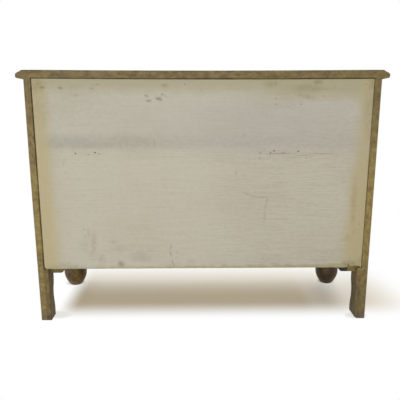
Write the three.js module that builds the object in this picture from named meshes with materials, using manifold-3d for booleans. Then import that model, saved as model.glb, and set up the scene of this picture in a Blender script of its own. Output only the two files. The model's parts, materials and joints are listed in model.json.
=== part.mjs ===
// A low painted chiffonier: two frieze drawers over a cupboard with two panelled doors.
// Straight legs carry it at the rear and turned bun feet at the front.
// Millimetres, +Z up. The front faces -Y, the origin is on the floor under the middle of its box.

import * as THREE from 'three';
import { mergeVertices } from 'three/addons/utils/BufferGeometryUtils.js';
import Module from 'manifold-3d';

const wasm = await Module();
wasm.setup();

// Overall form
const bodyWidth = 1200;
const bodyDepth = 412;
const caseHeight = 866;
const topThickness = 31;
const topOverhang = 26.5;

// Clearances
const fitGap = 0.3;
const slideGap = 0.3;
const panelPlay = 0.5;
const doorGap = 1.5;
const drawerGap = 1.5;
const guideGap = 1;
const overrun = 5;

// Moulded edge of the top
const edgeBevelWidth = 9.5;
const edgeBevelDrop = 6;
const edgeRoundWidth = 12;
const edgeRoundDrop = 9.5;
const edgeUnderRise = 5.5;
const edgeRoundPullShare = 0.55;

// Rear legs, which run up to the top as corner posts
const rearPostWidth = 41;
const rearPostDepth = 60;
const rearLipWidth = 24;
const backRebateDepth = 9;
const rearLegWaistHeight = 90;
const rearLegWaistDepth = 47;
const rearLegToeHeight = 25;
const rearLegToeDepth = 56;

// Front posts, and the plinth blocks and bun feet under them
const frontPostSize = 45;
const postRoundRadius = 5;
const plinthBlockSize = 96;
const bunForward = 5;
const bunHeight = 100;
const bunRadius = 48;
const bunBaseRadius = 21.5;
const bunFlankHeight = 28;
const bunBellyHeight = 60;
const bunNeckRadius = 30;
const bunCollarRadius = 33;
const bunCollarHeight = 5;
const spigotRadius = 14;
const spigotLength = 40;

// Back panel, which sits nearer one post than the other
const backPanelThickness = 6;
const backPanelGapLeft = 1;
const backPanelGapRight = 4;
const backPanelTopRebate = 4;

// Bottom board and the glue blocks behind it, beside the rear legs
const bottomHeight = 199;
const bottomThickness = 18;
const cornerBlockHeight = 18;
const cornerBlockDepth = 45;
const cornerBlockSetback = 3;
const cornerBlockReachLeft = 102;
const cornerBlockReachRight = 92;
const cornerBlockRound = 12;

// Side frames
const sideSetback = 3;
const sideRailThickness = 22;
const sideTopRailHeight = 55;
const sideBottomRailRise = 28;
const sideBottomRailDrop = 49;
const sideBottomRailArch = 17;
const sidePanelThickness = 10;
const sidePanelRecess = 8;
const grooveDepth = 8;
const railTongueHaunch = 8;

// Front frame
const frontSetback = 2;
const middleRailHeight = 22;
const middleRailTenon = 12;
const middleRailTenonShoulder = 5;
const apronThickness = 22;
const apronSetback = 3;
const apronHeight = 71;
const apronArch = 32;
const dividerWidth = 30;

// Shelf
const shelfRise = 239;
const shelfThickness = 18;
const shelfFrontSetback = 34;
const shelfHousing = 6;

// Drawer runners
const runnerThickness = 20;
const runnerLedge = 32;
const guideHeight = 24;
const backRailThickness = 22;
const backRailHeight = 42;

// Doors
const doorThickness = 22;
const stileWidth = 62;
const doorRailHeight = 68;
const doorTenon = 20;
const doorTenonShoulder = 8;
const doorTongueThickness = 8;
const doorTongueBack = 4;
const doorFieldRecess = 3;
const doorFieldMargin = 36;
const doorFieldStep = 2;
const doorMouldWidth = 7;
const doorMouldSteps = 4;

// Drawers
const drawerFrontThickness = 20;
const drawerSideThickness = 12;
const drawerTierHeight = 124;
const drawerTailRoom = 9;
const drawerSideDrop = 26;
const drawerSideInset = 0.5;
const drawerBottomThickness = 6;
const drawerBottomRise = 9;
const drawerGroove = 5;
const beadWidth = 4;
const beadDepth = 2;

// Hinges
const hingeLength = 76;
const hingeInset = 58;
const hingeLeafDepth = 22;
const hingeLeafThickness = 2;
const hingeBarrelRadius = 4;
const hingePinRadius = 1.8;
const hingeKnuckles = 5;
const hingePinHead = 2;

// Knobs and the catch behind the doors
const knobProjection = 24;
const knobHeadRadius = 15;
const knobHeadThickness = 12;
const knobNeckRadius = 6;
const knobBaseRadius = 11;
const knobBaseThickness = 4;
const knobSpigotRadius = 4;
const knobSpigotLength = 12;
const catchWidth = 46;
const catchHeight = 14;
const catchDepth = 18;

// Fineness of round faces
const bunSegments = 28;
const bunCurveSteps = 7;
const knobSegments = 16;
const knobCurveSteps = 4;
const hingeSegments = 12;
const curveSteps = 8;

// Planes that the pieces share
const halfWidth = bodyWidth / 2;
const rearY = (bodyDepth + topOverhang) / 2;
const frontY = rearY - bodyDepth;
const topZ = caseHeight + topThickness;
const lipX = halfWidth - rearLipWidth;
const rearPostX = halfWidth - rearPostWidth;
const rearPostY = rearY - rearPostDepth;
const backPanelY = rearY - backRebateDepth;
const frontPostX = halfWidth - frontPostSize;
const frontPostY = frontY + frontPostSize;
const plinthBlockX = halfWidth - plinthBlockSize;
const plinthBlockY = frontY + plinthBlockSize;
const sideFaceX = halfWidth - sideSetback;
const sideInnerX = sideFaceX - sideRailThickness;
const sidePanelOuterX = sideFaceX - sidePanelRecess;
const sidePanelInnerX = sidePanelOuterX - sidePanelThickness;
const faceY = frontY + frontSetback;
const bottomTop = bottomHeight + bottomThickness;
const apronFoot = bottomHeight - apronHeight;
const sideBottomRailTop = bottomTop + sideBottomRailRise;
const sideBottomRailFoot = bottomHeight - sideBottomRailDrop;
const shelfFoot = bottomTop + shelfRise;
const shelfTop = shelfFoot + shelfThickness;
const middleRailTop = caseHeight - drawerTierHeight;
const middleRailFoot = middleRailTop - middleRailHeight;
const backRailY = backPanelY - backRailThickness;
const sideTopRailFoot = caseHeight - sideTopRailHeight;
const dividerX = dividerWidth / 2;

// Materials
const paint = { color: 0x7a6a45, roughness: 0.6, metalness: 0.15 };
const footPaint = { color: 0x564625, roughness: 0.55, metalness: 0.15 };
const panelPaint = { color: 0xbab39e, roughness: 0.8, metalness: 0 };
const bareWood = { color: 0xa98a5e, roughness: 0.75, metalness: 0 };
const oldBrass = { color: 0x9a7b3c, roughness: 0.4, metalness: 0.9 };

const chiffonier = new THREE.Group();
chiffonier.name = 'chiffonier';

function addPiece(group, name, solid, look) {
  const mesh = new THREE.Mesh(toGeometry(solid), new THREE.MeshStandardMaterial(look));
  mesh.name = name;
  group.add(mesh);
}

// A closed three.js geometry as a solid that can be joined and cut.
function toSolid(geometry) {
  const bare = geometry.index ? geometry.toNonIndexed() : geometry.clone();
  bare.deleteAttribute('normal');
  bare.deleteAttribute('uv');
  const merged = mergeVertices(bare);
  const vertProperties = new Float32Array(merged.attributes.position.array);
  const triVerts = new Uint32Array(merged.index.array);
  return new wasm.Manifold(new wasm.Mesh({ numProp: 3, vertProperties, triVerts }));
}

// A solid as a geometry with flat-shaded faces.
function toGeometry(solid) {
  const { numProp, vertProperties, triVerts } = solid.getMesh();
  const geometry = new THREE.BufferGeometry();
  geometry.setAttribute('position', new THREE.BufferAttribute(vertProperties.slice(), numProp));
  geometry.setIndex(new THREE.BufferAttribute(triVerts.slice(), 1));
  const flat = geometry.toNonIndexed();
  flat.computeVertexNormals();
  return flat;
}

function cut(solid, ...tools) {
  return tools.reduce((rest, tool) => rest.subtract(tool), solid);
}

function join(solid, ...others) {
  return others.reduce((whole, other) => whole.add(other), solid);
}

// A box between two places on each axis, given in either order.
function block(x, y, z) {
  return taperedBlock({ x, z }, { x, z }, y);
}

// A box whose rectangle at one y differs from its rectangle at the other.
function taperedBlock(front, rear, y) {
  const unit = new THREE.BoxGeometry(1, 1, 1);
  const corners = unit.attributes.position;
  const pick = (pair, high) => (high ? Math.max(...pair) : Math.min(...pair));
  const frontIsLow = y[0] <= y[1];
  for (let i = 0; i < corners.count; i += 1) {
    const highY = corners.getY(i) > 0;
    const rectangle = highY === frontIsLow ? rear : front;
    const x = pick(rectangle.x, corners.getX(i) > 0);
    const z = pick(rectangle.z, corners.getZ(i) > 0);
    corners.setXYZ(i, x, pick(y, highY), z);
  }
  return toSolid(unit);
}

// An outline drawn in the Y-Z plane, extruded along X.
function extrudeAlongX(outline, x) {
  const geometry = extrude(outline, x);
  geometry.applyMatrix4(new THREE.Matrix4().set(0, 0, 1, 0, 1, 0, 0, 0, 0, 1, 0, 0, 0, 0, 0, 1));
  return toSolid(geometry);
}

// An outline drawn in the X-Z plane, extruded along Y.
function extrudeAlongY(outline, y) {
  const geometry = extrude(outline, y);
  geometry.applyMatrix4(new THREE.Matrix4().set(1, 0, 0, 0, 0, 0, -1, 0, 0, 1, 0, 0, 0, 0, 0, 1));
  geometry.translate(0, Math.min(...y) + Math.max(...y), 0);
  return toSolid(geometry);
}

// An outline drawn in the X-Y plane, extruded along Z.
function extrudeAlongZ(outline, z) {
  return toSolid(extrude(outline, z));
}

function extrude(outline, span) {
  const depth = Math.abs(span[1] - span[0]);
  const options = { depth, bevelEnabled: false, curveSegments: curveSteps };
  const geometry = new THREE.ExtrudeGeometry(outline, options);
  geometry.translate(0, 0, Math.min(...span));
  return geometry;
}

function outlineOf(points) {
  return new THREE.Shape(points.map(([a, b]) => new THREE.Vector2(a, b)));
}

// A profile of [radius, height] pairs turned about the Z axis.
function turnAboutZ(profile, segments) {
  const points = profile.map(([radius, height]) => new THREE.Vector2(radius, height));
  const geometry = new THREE.LatheGeometry(points, segments);
  geometry.rotateX(Math.PI / 2);
  return toSolid(geometry);
}

function cylinderAlongZ(radius, z, segments) {
  return turnAboutZ([[0, z[0]], [radius, z[0]], [radius, z[1]], [0, z[1]]], segments);
}

// A span across the front, from the middle outwards, on the given side.
function across(side, inner, outer) {
  return [side * inner, side * outer];
}

// The same moulded edge runs along both ends and the front of the top.
function topEdgeTo(outline, edge, away, topAt, underAt) {
  const nose = edge + away * topOverhang;
  const kink = nose - away * edgeRoundWidth;
  const noseTop = topAt - edgeBevelDrop - edgeRoundDrop;
  const pull = noseTop + edgeRoundDrop * edgeRoundPullShare;
  outline.lineTo(edge, underAt);
  outline.lineTo(nose, underAt + edgeUnderRise);
  outline.lineTo(nose, noseTop);
  outline.quadraticCurveTo(nose, pull, kink, topAt - edgeBevelDrop);
  outline.lineTo(kink - away * edgeBevelWidth, topAt);
}

function makeTopBoard() {
  const lengthways = new THREE.Shape();
  lengthways.moveTo(0, caseHeight);
  topEdgeTo(lengthways, halfWidth, 1, topZ, caseHeight);
  const otherEnd = new THREE.Shape();
  otherEnd.moveTo(0, caseHeight);
  topEdgeTo(otherEnd, -halfWidth, -1, topZ, caseHeight);
  lengthways.lineTo(0, topZ);
  otherEnd.lineTo(0, topZ);
  const depthways = new THREE.Shape();
  depthways.moveTo(rearY, caseHeight);
  topEdgeTo(depthways, frontY, -1, topZ, caseHeight);
  depthways.lineTo(rearY, topZ);
  const wholeDepth = [frontY - topOverhang, rearY];
  const ends = join(extrudeAlongY(lengthways, wholeDepth), extrudeAlongY(otherEnd, wholeDepth));
  const reach = halfWidth + topOverhang;
  const board = extrudeAlongX(depthways, [-reach, reach]).intersect(ends);
  const panelRebate = block(
    [-lipX, lipX],
    [backPanelY, rearY + overrun],
    [caseHeight - overrun, caseHeight + backPanelTopRebate],
  );
  addPiece(chiffonier, 'top_board', cut(board, panelRebate), paint);
}

// The side of the leg that faces forward draws in to a waist and swells again at the toe.
function rearLegOutline() {
  const waistY = rearY - rearLegWaistDepth;
  const toeY = rearY - rearLegToeDepth;
  const upperMid = (sideBottomRailFoot + rearLegWaistHeight) / 2;
  const lowerMid = (rearLegWaistHeight + rearLegToeHeight) / 2;
  const outline = new THREE.Shape();
  outline.moveTo(rearY, 0);
  outline.lineTo(rearY, caseHeight);
  outline.lineTo(rearPostY, caseHeight);
  outline.lineTo(rearPostY, sideBottomRailFoot);
  outline.bezierCurveTo(rearPostY, upperMid, waistY, upperMid, waistY, rearLegWaistHeight);
  outline.bezierCurveTo(waistY, lowerMid, toeY, lowerMid, toeY, rearLegToeHeight);
  outline.lineTo(toeY, 0);
  return outline;
}

// The groove for the side panel, which the rails' stub tongues share.
function sideGroove(side, faceAt, away) {
  const x = across(side, sidePanelInnerX - fitGap, sidePanelOuterX + fitGap);
  const y = [faceAt + away * overrun, faceAt - away * (grooveDepth + panelPlay)];
  return block(x, y, [bottomHeight + railTongueHaunch - fitGap, caseHeight + overrun]);
}

function shelfHousingCut(side, postX, y) {
  const x = across(side, postX - overrun, postX + shelfHousing + panelPlay);
  return block(x, y, [shelfFoot - fitGap, shelfTop + fitGap]);
}

// The rebate for the back panel stops at the panel's foot, so the leg below it has its full section.
function makeRearPost(side, word) {
  const post = extrudeAlongX(rearLegOutline(), across(side, rearPostX, halfWidth));
  const backRebate = block(
    across(side, rearPostX - overrun, lipX),
    [backPanelY, rearY + overrun],
    [bottomHeight - fitGap, caseHeight + overrun],
  );
  const housing = shelfHousingCut(side, rearPostX, [rearPostY - overrun, backPanelY + overrun]);
  const made = cut(post, backRebate, sideGroove(side, rearPostY, -1), housing);
  addPiece(chiffonier, `rear_post_${word}`, made, paint);
}

function hingeHeights() {
  const doorFoot = bottomTop + doorGap;
  const doorHead = middleRailFoot - doorGap;
  return { upper: doorHead - hingeInset - hingeLength, lower: doorFoot + hingeInset };
}

// A leaf and its gain are sunk into the wood so that the two leaves nearly meet in the door's gap.
const hingeAxisX = frontPostX - doorGap / 2;
const hingeAxisY = frontY - hingeBarrelRadius - fitGap;
const leafBackY = frontY + hingeLeafDepth;

function frameLeafSpan(side) {
  const inner = hingeAxisX + fitGap / 2;
  return across(side, inner, inner + hingeLeafThickness);
}

function doorLeafSpan(side) {
  const outer = hingeAxisX - fitGap / 2;
  return across(side, outer - hingeLeafThickness, outer);
}

function hingeGain(span, foot) {
  const inner = Math.min(...span) - fitGap;
  const outer = Math.max(...span) + fitGap;
  const z = [foot - fitGap, foot + hingeLength + fitGap];
  return block([inner, outer], [frontY - overrun, leafBackY + fitGap], z);
}

function middleRailTenonSection() {
  return {
    y: grown([faceY, frontPostY], -middleRailTenonShoulder),
    z: grown([middleRailFoot, middleRailTop], -middleRailTenonShoulder),
  };
}

function makeFrontPost(side, word) {
  const inner = side * frontPostX;
  const outer = side * halfWidth;
  const roundX = outer - side * postRoundRadius;
  const outline = new THREE.Shape();
  outline.moveTo(inner, frontY);
  outline.lineTo(roundX, frontY);
  outline.quadraticCurveTo(outer, frontY, outer, frontY + postRoundRadius);
  outline.lineTo(outer, frontPostY);
  outline.lineTo(inner, frontPostY);
  const post = extrudeAlongZ(outline, [bottomHeight, caseHeight]);
  const tenon = middleRailTenonSection();
  const mortise = block(
    across(side, frontPostX - overrun, frontPostX + middleRailTenon + panelPlay),
    grown(tenon.y, fitGap),
    grown(tenon.z, fitGap),
  );
  const housingY = [frontY + shelfFrontSetback - fitGap, frontPostY + overrun];
  const housing = shelfHousingCut(side, frontPostX, housingY);
  const gains = Object.values(hingeHeights()).map((foot) => hingeGain(frameLeafSpan(side), foot));
  const made = cut(post, mortise, housing, sideGroove(side, frontPostY, 1), ...gains);
  addPiece(chiffonier, `front_post_${word}`, made, paint);
}

// The turned foot swells steadily from its flat base to a high belly and rounds in under the collar.
function bunProfile() {
  const shoulder = bunHeight - bunCollarHeight;
  const spigotTop = bunHeight + spigotLength;
  const swell = new THREE.Path();
  swell.moveTo(bunBaseRadius, 0);
  swell.quadraticCurveTo(bunRadius, bunFlankHeight, bunRadius, bunBellyHeight);
  swell.quadraticCurveTo(bunRadius, shoulder, bunNeckRadius, shoulder);
  return [
    [0, 0],
    ...swell.getPoints(bunCurveSteps).map(({ x, y }) => [x, y]),
    [bunCollarRadius, shoulder],
    [bunCollarRadius, bunHeight],
    [spigotRadius, bunHeight],
    [spigotRadius, spigotTop],
    [0, spigotTop],
  ];
}

// The foot stands a little forward of the middle of its plinth block.
function makeFrontFoot(side, word) {
  const footX = side * (halfWidth - plinthBlockSize / 2);
  const footY = frontY + plinthBlockSize / 2 - bunForward;
  const foot = new THREE.Group();
  foot.position.set(footX, footY, 0);
  chiffonier.add(foot);
  addPiece(foot, `bun_foot_${word}`, turnAboutZ(bunProfile(), bunSegments), footPaint);
  const half = plinthBlockSize / 2;
  const blockY = [bunForward - half, bunForward + half];
  const plinth = block([-half, half], blockY, [bunHeight, bottomHeight]);
  const boreTop = bunHeight + spigotLength + fitGap;
  const bore = cylinderAlongZ(spigotRadius + fitGap, [bunHeight - overrun, boreTop], bunSegments);
  addPiece(foot, `plinth_block_${word}`, cut(plinth, bore), paint);
}

// Both side rails end in stub tongues, and carry the panel's groove along one edge.
function sideRailTongues(side, z) {
  const x = across(side, sidePanelInnerX, sidePanelOuterX);
  const atFront = block(x, [frontPostY - grooveDepth, frontPostY + overrun], z);
  const atRear = block(x, [rearPostY - overrun, rearPostY + grooveDepth], z);
  return [atFront, atRear];
}

function sideRailGroove(side, z) {
  const x = across(side, sidePanelInnerX - fitGap, sidePanelOuterX + fitGap);
  return block(x, [frontPostY - grooveDepth - overrun, rearPostY + grooveDepth + overrun], z);
}

function makeSideFrame(side, word) {
  const x = across(side, sideInnerX, sideFaceX);
  const headFoot = sideTopRailFoot;
  const topRail = block(x, [frontPostY, rearPostY], [headFoot, caseHeight]);
  const topTongues = sideRailTongues(side, [headFoot, caseHeight]);
  const topGroove = sideRailGroove(side, [headFoot - overrun, headFoot + grooveDepth + panelPlay]);
  const madeTop = cut(join(topRail, ...topTongues), topGroove);
  addPiece(chiffonier, `side_top_rail_${word}`, madeTop, paint);

  const middleY = (plinthBlockY + rearPostY) / 2;
  const crown = sideBottomRailFoot + 2 * sideBottomRailArch;
  const outline = new THREE.Shape();
  outline.moveTo(plinthBlockY, sideBottomRailFoot);
  outline.quadraticCurveTo(middleY, crown, rearPostY, sideBottomRailFoot);
  outline.lineTo(rearPostY, sideBottomRailTop);
  outline.lineTo(frontPostY, sideBottomRailTop);
  outline.lineTo(frontPostY, bottomHeight);
  outline.lineTo(plinthBlockY, bottomHeight);
  const tongueSpan = [bottomHeight + railTongueHaunch, sideBottomRailTop];
  const bottomTongues = sideRailTongues(side, tongueSpan);
  const grooveFoot = sideBottomRailTop - grooveDepth - panelPlay;
  const bottomGroove = sideRailGroove(side, [grooveFoot, sideBottomRailTop + overrun]);
  const madeBottom = cut(join(extrudeAlongX(outline, x), ...bottomTongues), bottomGroove);
  addPiece(chiffonier, `side_bottom_rail_${word}`, madeBottom, paint);

  const panel = block(
    across(side, sidePanelInnerX, sidePanelOuterX),
    [frontPostY - grooveDepth, rearPostY + grooveDepth],
    [sideBottomRailTop - grooveDepth, sideTopRailFoot + grooveDepth],
  );
  addPiece(chiffonier, `side_panel_${word}`, panel, paint);
}

function makeBackPanel() {
  const panel = block(
    [-lipX + backPanelGapLeft, lipX - backPanelGapRight],
    [backPanelY, backPanelY + backPanelThickness],
    [bottomHeight, caseHeight + backPanelTopRebate - panelPlay],
  );
  addPiece(chiffonier, 'back_panel', panel, panelPaint);
}

// A board between the side frames, notched round all four posts, or housed in them.
function notchedBoard(z, frontAt, sideReach, housing) {
  const board = block([-sideReach, sideReach], [frontAt, backPanelY], z);
  const tall = [z[0] - overrun, z[1] + overrun];
  const notches = [];
  for (const side of [-1, 1]) {
    const pastPost = sideReach + overrun;
    const frontX = across(side, frontPostX + housing, pastPost);
    const rearX = across(side, rearPostX + housing, pastPost);
    notches.push(block(frontX, [frontY - overrun, frontPostY], tall));
    notches.push(block(rearX, [rearPostY, rearY + overrun], tall));
  }
  return cut(board, ...notches);
}

function makeBottomBoard() {
  const board = notchedBoard([bottomHeight, bottomTop], faceY, sideInnerX, 0);
  addPiece(chiffonier, 'bottom_board', board, paint);
}

function makeShelf() {
  const frontAt = frontY + shelfFrontSetback;
  const reach = sidePanelInnerX - panelPlay;
  const board = notchedBoard([shelfFoot, shelfTop], frontAt, reach, shelfHousing);
  addPiece(chiffonier, 'shelf', board, bareWood);
}

// A glue block in the corner of the leg and the bottom board, its free end rounded off below.
function makeCornerBlock(side, word, reach) {
  const foot = bottomHeight - cornerBlockHeight;
  const endX = side * (halfWidth - reach);
  const outline = new THREE.Shape();
  outline.moveTo(side * rearPostX, foot);
  outline.lineTo(side * rearPostX, bottomHeight);
  outline.lineTo(endX, bottomHeight);
  outline.lineTo(endX, foot + cornerBlockRound);
  outline.quadraticCurveTo(endX, foot, endX + side * cornerBlockRound, foot);
  const rearAt = backPanelY - cornerBlockSetback;
  const made = extrudeAlongY(outline, [rearAt - cornerBlockDepth, rearAt]);
  addPiece(chiffonier, `rear_corner_block_${word}`, made, paint);
}

function makeFrontFrame() {
  const tenonReach = frontPostX + middleRailTenon;
  const railZ = [middleRailFoot, middleRailTop];
  const rail = block([-frontPostX, frontPostX], [faceY, frontPostY], railZ);
  const tenon = middleRailTenonSection();
  const tenons = block([-tenonReach, tenonReach], tenon.y, tenon.z);
  addPiece(chiffonier, 'front_middle_rail', join(rail, tenons), paint);

  const apronY = frontY + apronSetback;
  const crown = apronFoot + 2 * apronArch;
  const outline = new THREE.Shape();
  outline.moveTo(-plinthBlockX, apronFoot);
  outline.quadraticCurveTo(0, crown, plinthBlockX, apronFoot);
  outline.lineTo(plinthBlockX, bottomHeight);
  outline.lineTo(-plinthBlockX, bottomHeight);
  const apron = extrudeAlongY(outline, [apronY, apronY + apronThickness]);
  addPiece(chiffonier, 'front_apron', apron, paint);

  const divider = block([-dividerX, dividerX], [faceY, frontPostY], [middleRailTop, caseHeight]);
  addPiece(chiffonier, 'drawer_divider', divider, paint);
}

// Each runner is a ledge under the drawer's side with a guide standing beside it.
function makeRunners() {
  const runnerY = [frontPostY, backRailY];
  const foot = middleRailTop - runnerThickness;
  const guideTop = middleRailTop + guideHeight;
  for (const [side, word] of [[-1, 'left'], [1, 'right']]) {
    const guideX = drawerOuterX() + guideGap;
    const ledgeX = guideX - runnerLedge + drawerSideThickness;
    const outline = outlineOf([
      [side * ledgeX, foot],
      [side * rearPostX, foot],
      [side * rearPostX, guideTop],
      [side * guideX, guideTop],
      [side * guideX, middleRailTop],
      [side * ledgeX, middleRailTop],
    ]);
    addPiece(chiffonier, `drawer_runner_${word}`, extrudeAlongY(outline, runnerY), bareWood);
  }
  const centreGuide = dividerX + drawerGap + drawerSideInset - guideGap;
  const ledge = block([-runnerLedge, runnerLedge], runnerY, [foot, middleRailTop]);
  const guide = block([-centreGuide, centreGuide], runnerY, [foot, guideTop]);
  addPiece(chiffonier, 'drawer_runner_centre', join(ledge, guide), bareWood);
  const backRail = block(
    [-rearPostX, rearPostX],
    [backRailY, backPanelY],
    [middleRailTop - backRailHeight, middleRailTop],
  );
  addPiece(chiffonier, 'back_rail', backRail, bareWood);
}

// The outer face of a drawer's outer side, from the middle of the chiffonier.
function drawerOuterX() {
  return frontPostX - drawerGap - drawerSideInset;
}

function makeCatch() {
  const catchY = faceY + doorThickness + fitGap;
  const half = catchWidth / 2;
  const catchZ = [middleRailFoot - catchHeight, middleRailFoot];
  const body = block([-half, half], [catchY, catchY + catchDepth], catchZ);
  addPiece(chiffonier, 'door_catch', body, oldBrass);
}

// A turned knob whose spigot goes into the wood behind it. It points along -Y from the origin.
function knobSolid() {
  const neckEnd = knobProjection - knobHeadThickness;
  const profile = [
    [0, -knobSpigotLength],
    [knobSpigotRadius, -knobSpigotLength],
    [knobSpigotRadius, 0],
    [knobBaseRadius, 0],
    [knobBaseRadius, knobBaseThickness / 2],
  ];
  const stemFoot = knobBaseThickness / 2;
  for (let i = 1; i <= knobCurveSteps; i += 1) {
    const turn = (Math.PI / 2) * (i / knobCurveSteps);
    const radius = knobBaseRadius - (knobBaseRadius - knobNeckRadius) * Math.sin(turn);
    profile.push([radius, stemFoot + (neckEnd - stemFoot) * (1 - Math.cos(turn))]);
  }
  const headStart = Math.asin(knobNeckRadius / knobHeadRadius);
  for (let i = 1; i < 2 * knobCurveSteps; i += 1) {
    const turn = headStart + (Math.PI - headStart) * (i / (2 * knobCurveSteps));
    const lift = (Math.cos(headStart) - Math.cos(turn)) / (Math.cos(headStart) + 1);
    profile.push([knobHeadRadius * Math.sin(turn), neckEnd + knobHeadThickness * lift]);
  }
  profile.push([0, knobProjection]);
  const points = profile.map(([radius, height]) => new THREE.Vector2(radius, height));
  const geometry = new THREE.LatheGeometry(points, knobSegments);
  geometry.rotateX(Math.PI);
  return toSolid(geometry);
}

function knobHole(x, z) {
  const hole = turnAboutZ([
    [0, -overrun],
    [knobSpigotRadius + fitGap, -overrun],
    [knobSpigotRadius + fitGap, knobSpigotLength + fitGap],
    [0, knobSpigotLength + fitGap],
  ], knobSegments);
  return hole.rotate([-90, 0, 0]).translate([x, 0, z]);
}

function addKnob(group, name, x, z) {
  const seat = new THREE.Group();
  seat.position.set(x, -fitGap / 2, z);
  group.add(seat);
  addPiece(seat, name, knobSolid(), oldBrass);
}

// A drawer, placed with its origin at the lower middle of its front's face.
function makeDrawer(side, word) {
  const innerX = dividerX + drawerGap;
  const outerX = frontPostX - drawerGap;
  const width = outerX - innerX;
  const height = drawerTierHeight - 2 * drawerGap;
  const half = width / 2;
  const drawer = new THREE.Group();
  drawer.position.set((side * (innerX + outerX)) / 2, faceY, middleRailTop + drawerGap);
  chiffonier.add(drawer);

  const sideFoot = slideGap - drawerGap;
  const sideX = half - drawerSideInset;
  const sideInner = sideX - drawerSideThickness;
  const bottomZ = sideFoot + drawerBottomRise;
  const bottomTopZ = bottomZ + drawerBottomThickness;
  const sideHead = drawerTierHeight - drawerSideDrop + sideFoot;
  const endY = backRailY - drawerTailRoom - faceY;
  const backY = endY - drawerSideThickness;

  const slab = block([-half, half], [0, drawerFrontThickness], [0, height]);
  const field = block(
    [-half + beadWidth, half - beadWidth],
    [-overrun, beadDepth],
    [beadWidth, height - beadWidth],
  );
  const frontGroove = block(
    [-sideInner - drawerGroove - fitGap, sideInner + drawerGroove + fitGap],
    [drawerFrontThickness - drawerGroove - fitGap, drawerFrontThickness + overrun],
    [bottomZ - fitGap, bottomTopZ + fitGap],
  );
  const knobZ = height / 2;
  const hole = knobHole(0, knobZ).translate([0, beadDepth, 0]);
  addPiece(drawer, `drawer_front_${word}`, cut(slab, field, frontGroove, hole), paint);

  for (const [end, endWord] of [[-1, 'left'], [1, 'right']]) {
    const wall = block(
      across(end, sideInner, sideX),
      [drawerFrontThickness, endY],
      [sideFoot, sideHead],
    );
    const groove = block(
      across(end, sideInner - overrun, sideInner + drawerGroove + fitGap),
      [drawerFrontThickness - overrun, endY + overrun],
      [bottomZ - fitGap, bottomTopZ + fitGap],
    );
    addPiece(drawer, `drawer_side_${endWord}_of_${word}`, cut(wall, groove), bareWood);
  }

  const back = block(
    [-sideInner, sideInner],
    [backY, endY],
    [bottomTopZ + fitGap, sideHead],
  );
  addPiece(drawer, `drawer_back_${word}`, back, bareWood);
  const bottom = block(
    [-sideInner - drawerGroove, sideInner + drawerGroove],
    [drawerFrontThickness - drawerGroove, endY],
    [bottomZ, bottomTopZ],
  );
  addPiece(drawer, `drawer_bottom_${word}`, bottom, bareWood);
  const knobSeat = new THREE.Group();
  knobSeat.position.set(0, beadDepth, 0);
  drawer.add(knobSeat);
  addKnob(knobSeat, `drawer_knob_${word}`, 0, knobZ);
}

// Where the door's frame opens for its panel, in from the door's edges.
function doorWindow(width, height) {
  return {
    x: [stileWidth, width - stileWidth],
    z: [doorRailHeight, height - doorRailHeight],
  };
}

function grown(pair, by) {
  return [pair[0] - by, pair[1] + by];
}

// A rounded moulding round the window's front edge, stepped down in short slopes.
function windowMould(window) {
  const rings = [];
  for (let i = 0; i < doorMouldSteps; i += 1) {
    const turnHere = (Math.PI / 2) * (i / doorMouldSteps);
    const turnNext = (Math.PI / 2) * ((i + 1) / doorMouldSteps);
    const outHere = doorMouldWidth * Math.cos(turnHere);
    const outNext = doorMouldWidth * Math.cos(turnNext);
    const front = { x: grown(window.x, outHere), z: grown(window.z, outHere) };
    const rear = { x: grown(window.x, outNext), z: grown(window.z, outNext) };
    const y = [doorMouldWidth * Math.sin(turnHere), doorMouldWidth * Math.sin(turnNext)];
    rings.push(taperedBlock(front, rear, y));
  }
  const mouth = block(
    grown(window.x, doorMouldWidth),
    [-overrun, 0],
    grown(window.z, doorMouldWidth),
  );
  return join(mouth, ...rings);
}

// The panel is thin at its edge, where it enters the grooves, and rises to a flat field.
function fieldedSection(from, to, tongue) {
  const backY = doorThickness - doorTongueBack;
  const tongueY = backY - doorTongueThickness;
  const edgeIn = from - tongue;
  const edgeOut = to + tongue;
  const fieldIn = from + doorFieldMargin;
  const fieldOut = to - doorFieldMargin;
  return [
    [edgeIn, backY],
    [edgeIn, tongueY],
    [from, tongueY],
    [fieldIn, doorFieldRecess + doorFieldStep],
    [fieldIn, doorFieldRecess],
    [fieldOut, doorFieldRecess],
    [fieldOut, doorFieldRecess + doorFieldStep],
    [to, tongueY],
    [edgeOut, tongueY],
    [edgeOut, backY],
  ];
}

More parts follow.
